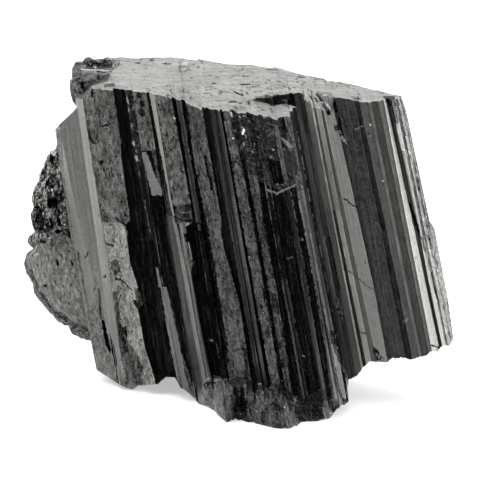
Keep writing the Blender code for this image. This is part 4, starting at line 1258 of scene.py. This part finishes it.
def mineral(name, smooth, dull, across, down, ribbed, pitted, mottle, mirror):
    """A schorl surface: its shade from the mesh, streaked or mottled, with uneven gloss and relief."""
    material, shader = new_material(name, smooth, mirror)
    add = node_adder(material.node_tree)
    grain = add("Attribute", attribute_name="grain").outputs["Vector"]
    shade = add("Attribute", attribute_name="shade").outputs["Fac"]
    scaled = add("VectorMath", [(grain, 0)], operation="MULTIPLY")
    scaled.inputs[1].default_value = (1 / (across * MM), 1 / (down * MM), 1 / (down * MM))
    streaks = add("TexNoise", [(scaled.outputs[0], "Vector")], Scale=1.0, Detail=5.0, Roughness=0.6)
    specks = add("TexNoise", [(grain, "Vector")], Scale=SPECK_SCALE, Detail=3.0, Roughness=0.6)
    streak, speck = streaks.outputs["Fac"], specks.outputs["Fac"]
    varied = ranged(add, streak, NOISE_SPREAD, (1 - mottle, 1 + mottle))
    gloss = ranged(add, speck, NOISE_SPREAD, (smooth, dull))
    level = add("Math", [(shade, 0), (varied, 1)], operation="MULTIPLY")
    colour = add("VectorMath", [(level.outputs[0], "Scale")], operation="SCALE")
    colour.inputs[0].default_value = PER_CENT
    ribs = add("Bump", [(streak, "Height")], Strength=1.0, Distance=ribbed * MM)
    pits = add("Bump", [(speck, "Height"), (ribs.outputs[0], "Normal")], Strength=1.0,
               Distance=pitted * MM)
    made = (("Base Color", colour.outputs[0]), ("Roughness", gloss), ("Normal", pits.outputs[0]))
    for socket, source in made:
        material.node_tree.links.new(source, shader.inputs[socket])
    return material


FLOOR_HALF = 1.6  # half the side of the floor, in metres
PAPER_GREY, PAPER_GLOW = 0.5, 0.45  # the floor is lit by the studio and glows a little

# The studio: how bright it is where a direction leans this far towards the front, the top, the
# right and the left, as (from, to) and the brightness at each
TO_FRONT = (-0.30, -0.91, -0.29)
FRONT_GLOW = (0.1, 0.7), (1.3, 0.01)
TOP_GLOW = (0.35, 0.9), (0.0, 1.2)
RIGHT_GLOW = (0.6, 0.9), (0.0, 1.2)
LEFT_GLOW = (-0.7, -0.95), (0.0, 0.3)

# The soft lights: name, place and width in metres, and power in watts
LIGHTS = (
    ("key", (-0.35, -0.15, 0.75), 0.5, 6.0),
    ("rim_right", (0.8, 0.45, 0.15), 0.4, 8.0),
)
LIGHTS_AIM = (0, 0, 0.03)

LENS, SENSOR = 1200.0, 36.0  # of the camera, in millimetres
CLIP = 0.01, 10.0  # how near and how far the camera sees, in metres
SHIFT_RIGHT, SHIFT_DOWN = 0.7, 0.6  # how far the picture is moved, in page units


def pale_floor():
    """A large plain sheet under the crystal."""
    mesh = bpy.data.meshes.new("floor")
    corners = [(x * FLOOR_HALF, y * FLOOR_HALF, 0) for x, y in ((-1, -1), (1, -1), (1, 1), (-1, 1))]
    mesh.from_pydata(corners, [], [(0, 1, 2, 3)])
    material, shader = new_material("white_paper", 0.9, 0.0)
    shader.inputs["Base Color"].default_value = (PAPER_GREY, PAPER_GREY, PAPER_GREY, 1)
    shader.inputs["Emission Color"].default_value = (1, 1, 1, 1)
    shader.inputs["Emission Strength"].default_value = PAPER_GLOW
    mesh.materials.append(material)
    floor = bpy.data.objects.new("floor", mesh)
    bpy.context.scene.collection.objects.link(floor)
    floor.visible_glossy = False  # the dark faces mirror the studio, not the paper


def studio_world():
    """Soft light from above, behind and both sides, and little from the front."""
    world = bpy.data.worlds.new("studio")
    world.use_nodes = True
    tree = world.node_tree
    add = node_adder(tree)
    way = add("TexCoord").outputs["Generated"]
    parts = add("SeparateXYZ", [(way, 0)])
    front = add("VectorMath", [(way, 0)], operation="DOT_PRODUCT")
    front.inputs[1].default_value = TO_FRONT
    around, above, right, left = (
        ranged(add, source, *glow, "SMOOTHSTEP")
        for source, glow in (
            (front.outputs["Value"], FRONT_GLOW), (parts.outputs["Z"], TOP_GLOW),
            (parts.outputs["X"], RIGHT_GLOW), (parts.outputs["X"], LEFT_GLOW),
        )
    )

    def both(first, second):
        return add("Math", [(first, 0), (second, 1)], operation="ADD").outputs[0]

    total = both(both(around, above), both(left, right))
    # the camera itself sees plain white
    level = add("Mix", [(add("LightPath").outputs["Is Camera Ray"], 0), (total, 2)], data_type="FLOAT")
    level.inputs[3].default_value = 1.0
    background = tree.nodes["Background"]
    tree.links.new(level.outputs[0], background.inputs["Strength"])
    background.inputs["Color"].default_value = (1, 1, 1, 1)
    bpy.context.scene.world = world


def soft_light(name, place_m, size, power):
    """A square area light that looks at the crystal."""
    data = bpy.data.lights.new(name, "AREA")
    data.shape, data.size, data.energy = "SQUARE", size, power
    light = bpy.data.objects.new(name, data)
    bpy.context.scene.collection.objects.link(light)
    light.location = place_m
    way = Vector(np.array(LIGHTS_AIM, float) - np.array(place_m, float))
    light.rotation_mode = "QUATERNION"
    light.rotation_quaternion = way.to_track_quat("-Z", "Y")


def camera():
    """A very long lens, 18 degrees above the horizon, framed as the page."""
    data = bpy.data.cameras.new("camera")
    data.lens, data.sensor_width = LENS, SENSOR
    data.clip_start, data.clip_end = CLIP
    distance = PAGE_SIDE * UNIT * data.lens / data.sensor_width
    made = bpy.data.objects.new("camera", data)
    bpy.context.scene.collection.objects.link(made)
    # the picture's middle, as a point of the plane through the crystal's middle
    across = PAGE_SIDE / 2 - CENTRE_X - SHIFT_RIGHT
    height = height_of(PAGE_SIDE / 2 - SHIFT_DOWN, CENTRE_DEPTH)
    back = np.array([0, -math.cos(VIEW_TILT), math.sin(VIEW_TILT)])
    made.location = np.array([across, 0, height]) * UNIT + back * distance
    made.rotation_euler = (math.pi / 2 - VIEW_TILT, 0, 0)
    bpy.context.scene.camera = made


def main():
    """Builds the pieces, the stage, the light and the camera."""
    materials = [mineral(*values) for values in MINERALS]
    for piece in body(materials) + [flank(materials), side_growths(materials)]:
        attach(piece, "root")
        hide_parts("crystal")
    pale_floor()
    studio_world()
    for light in LIGHTS:
        soft_light(*light)
    camera()
    bpy.context.scene.view_settings.view_transform = "Standard"


main()
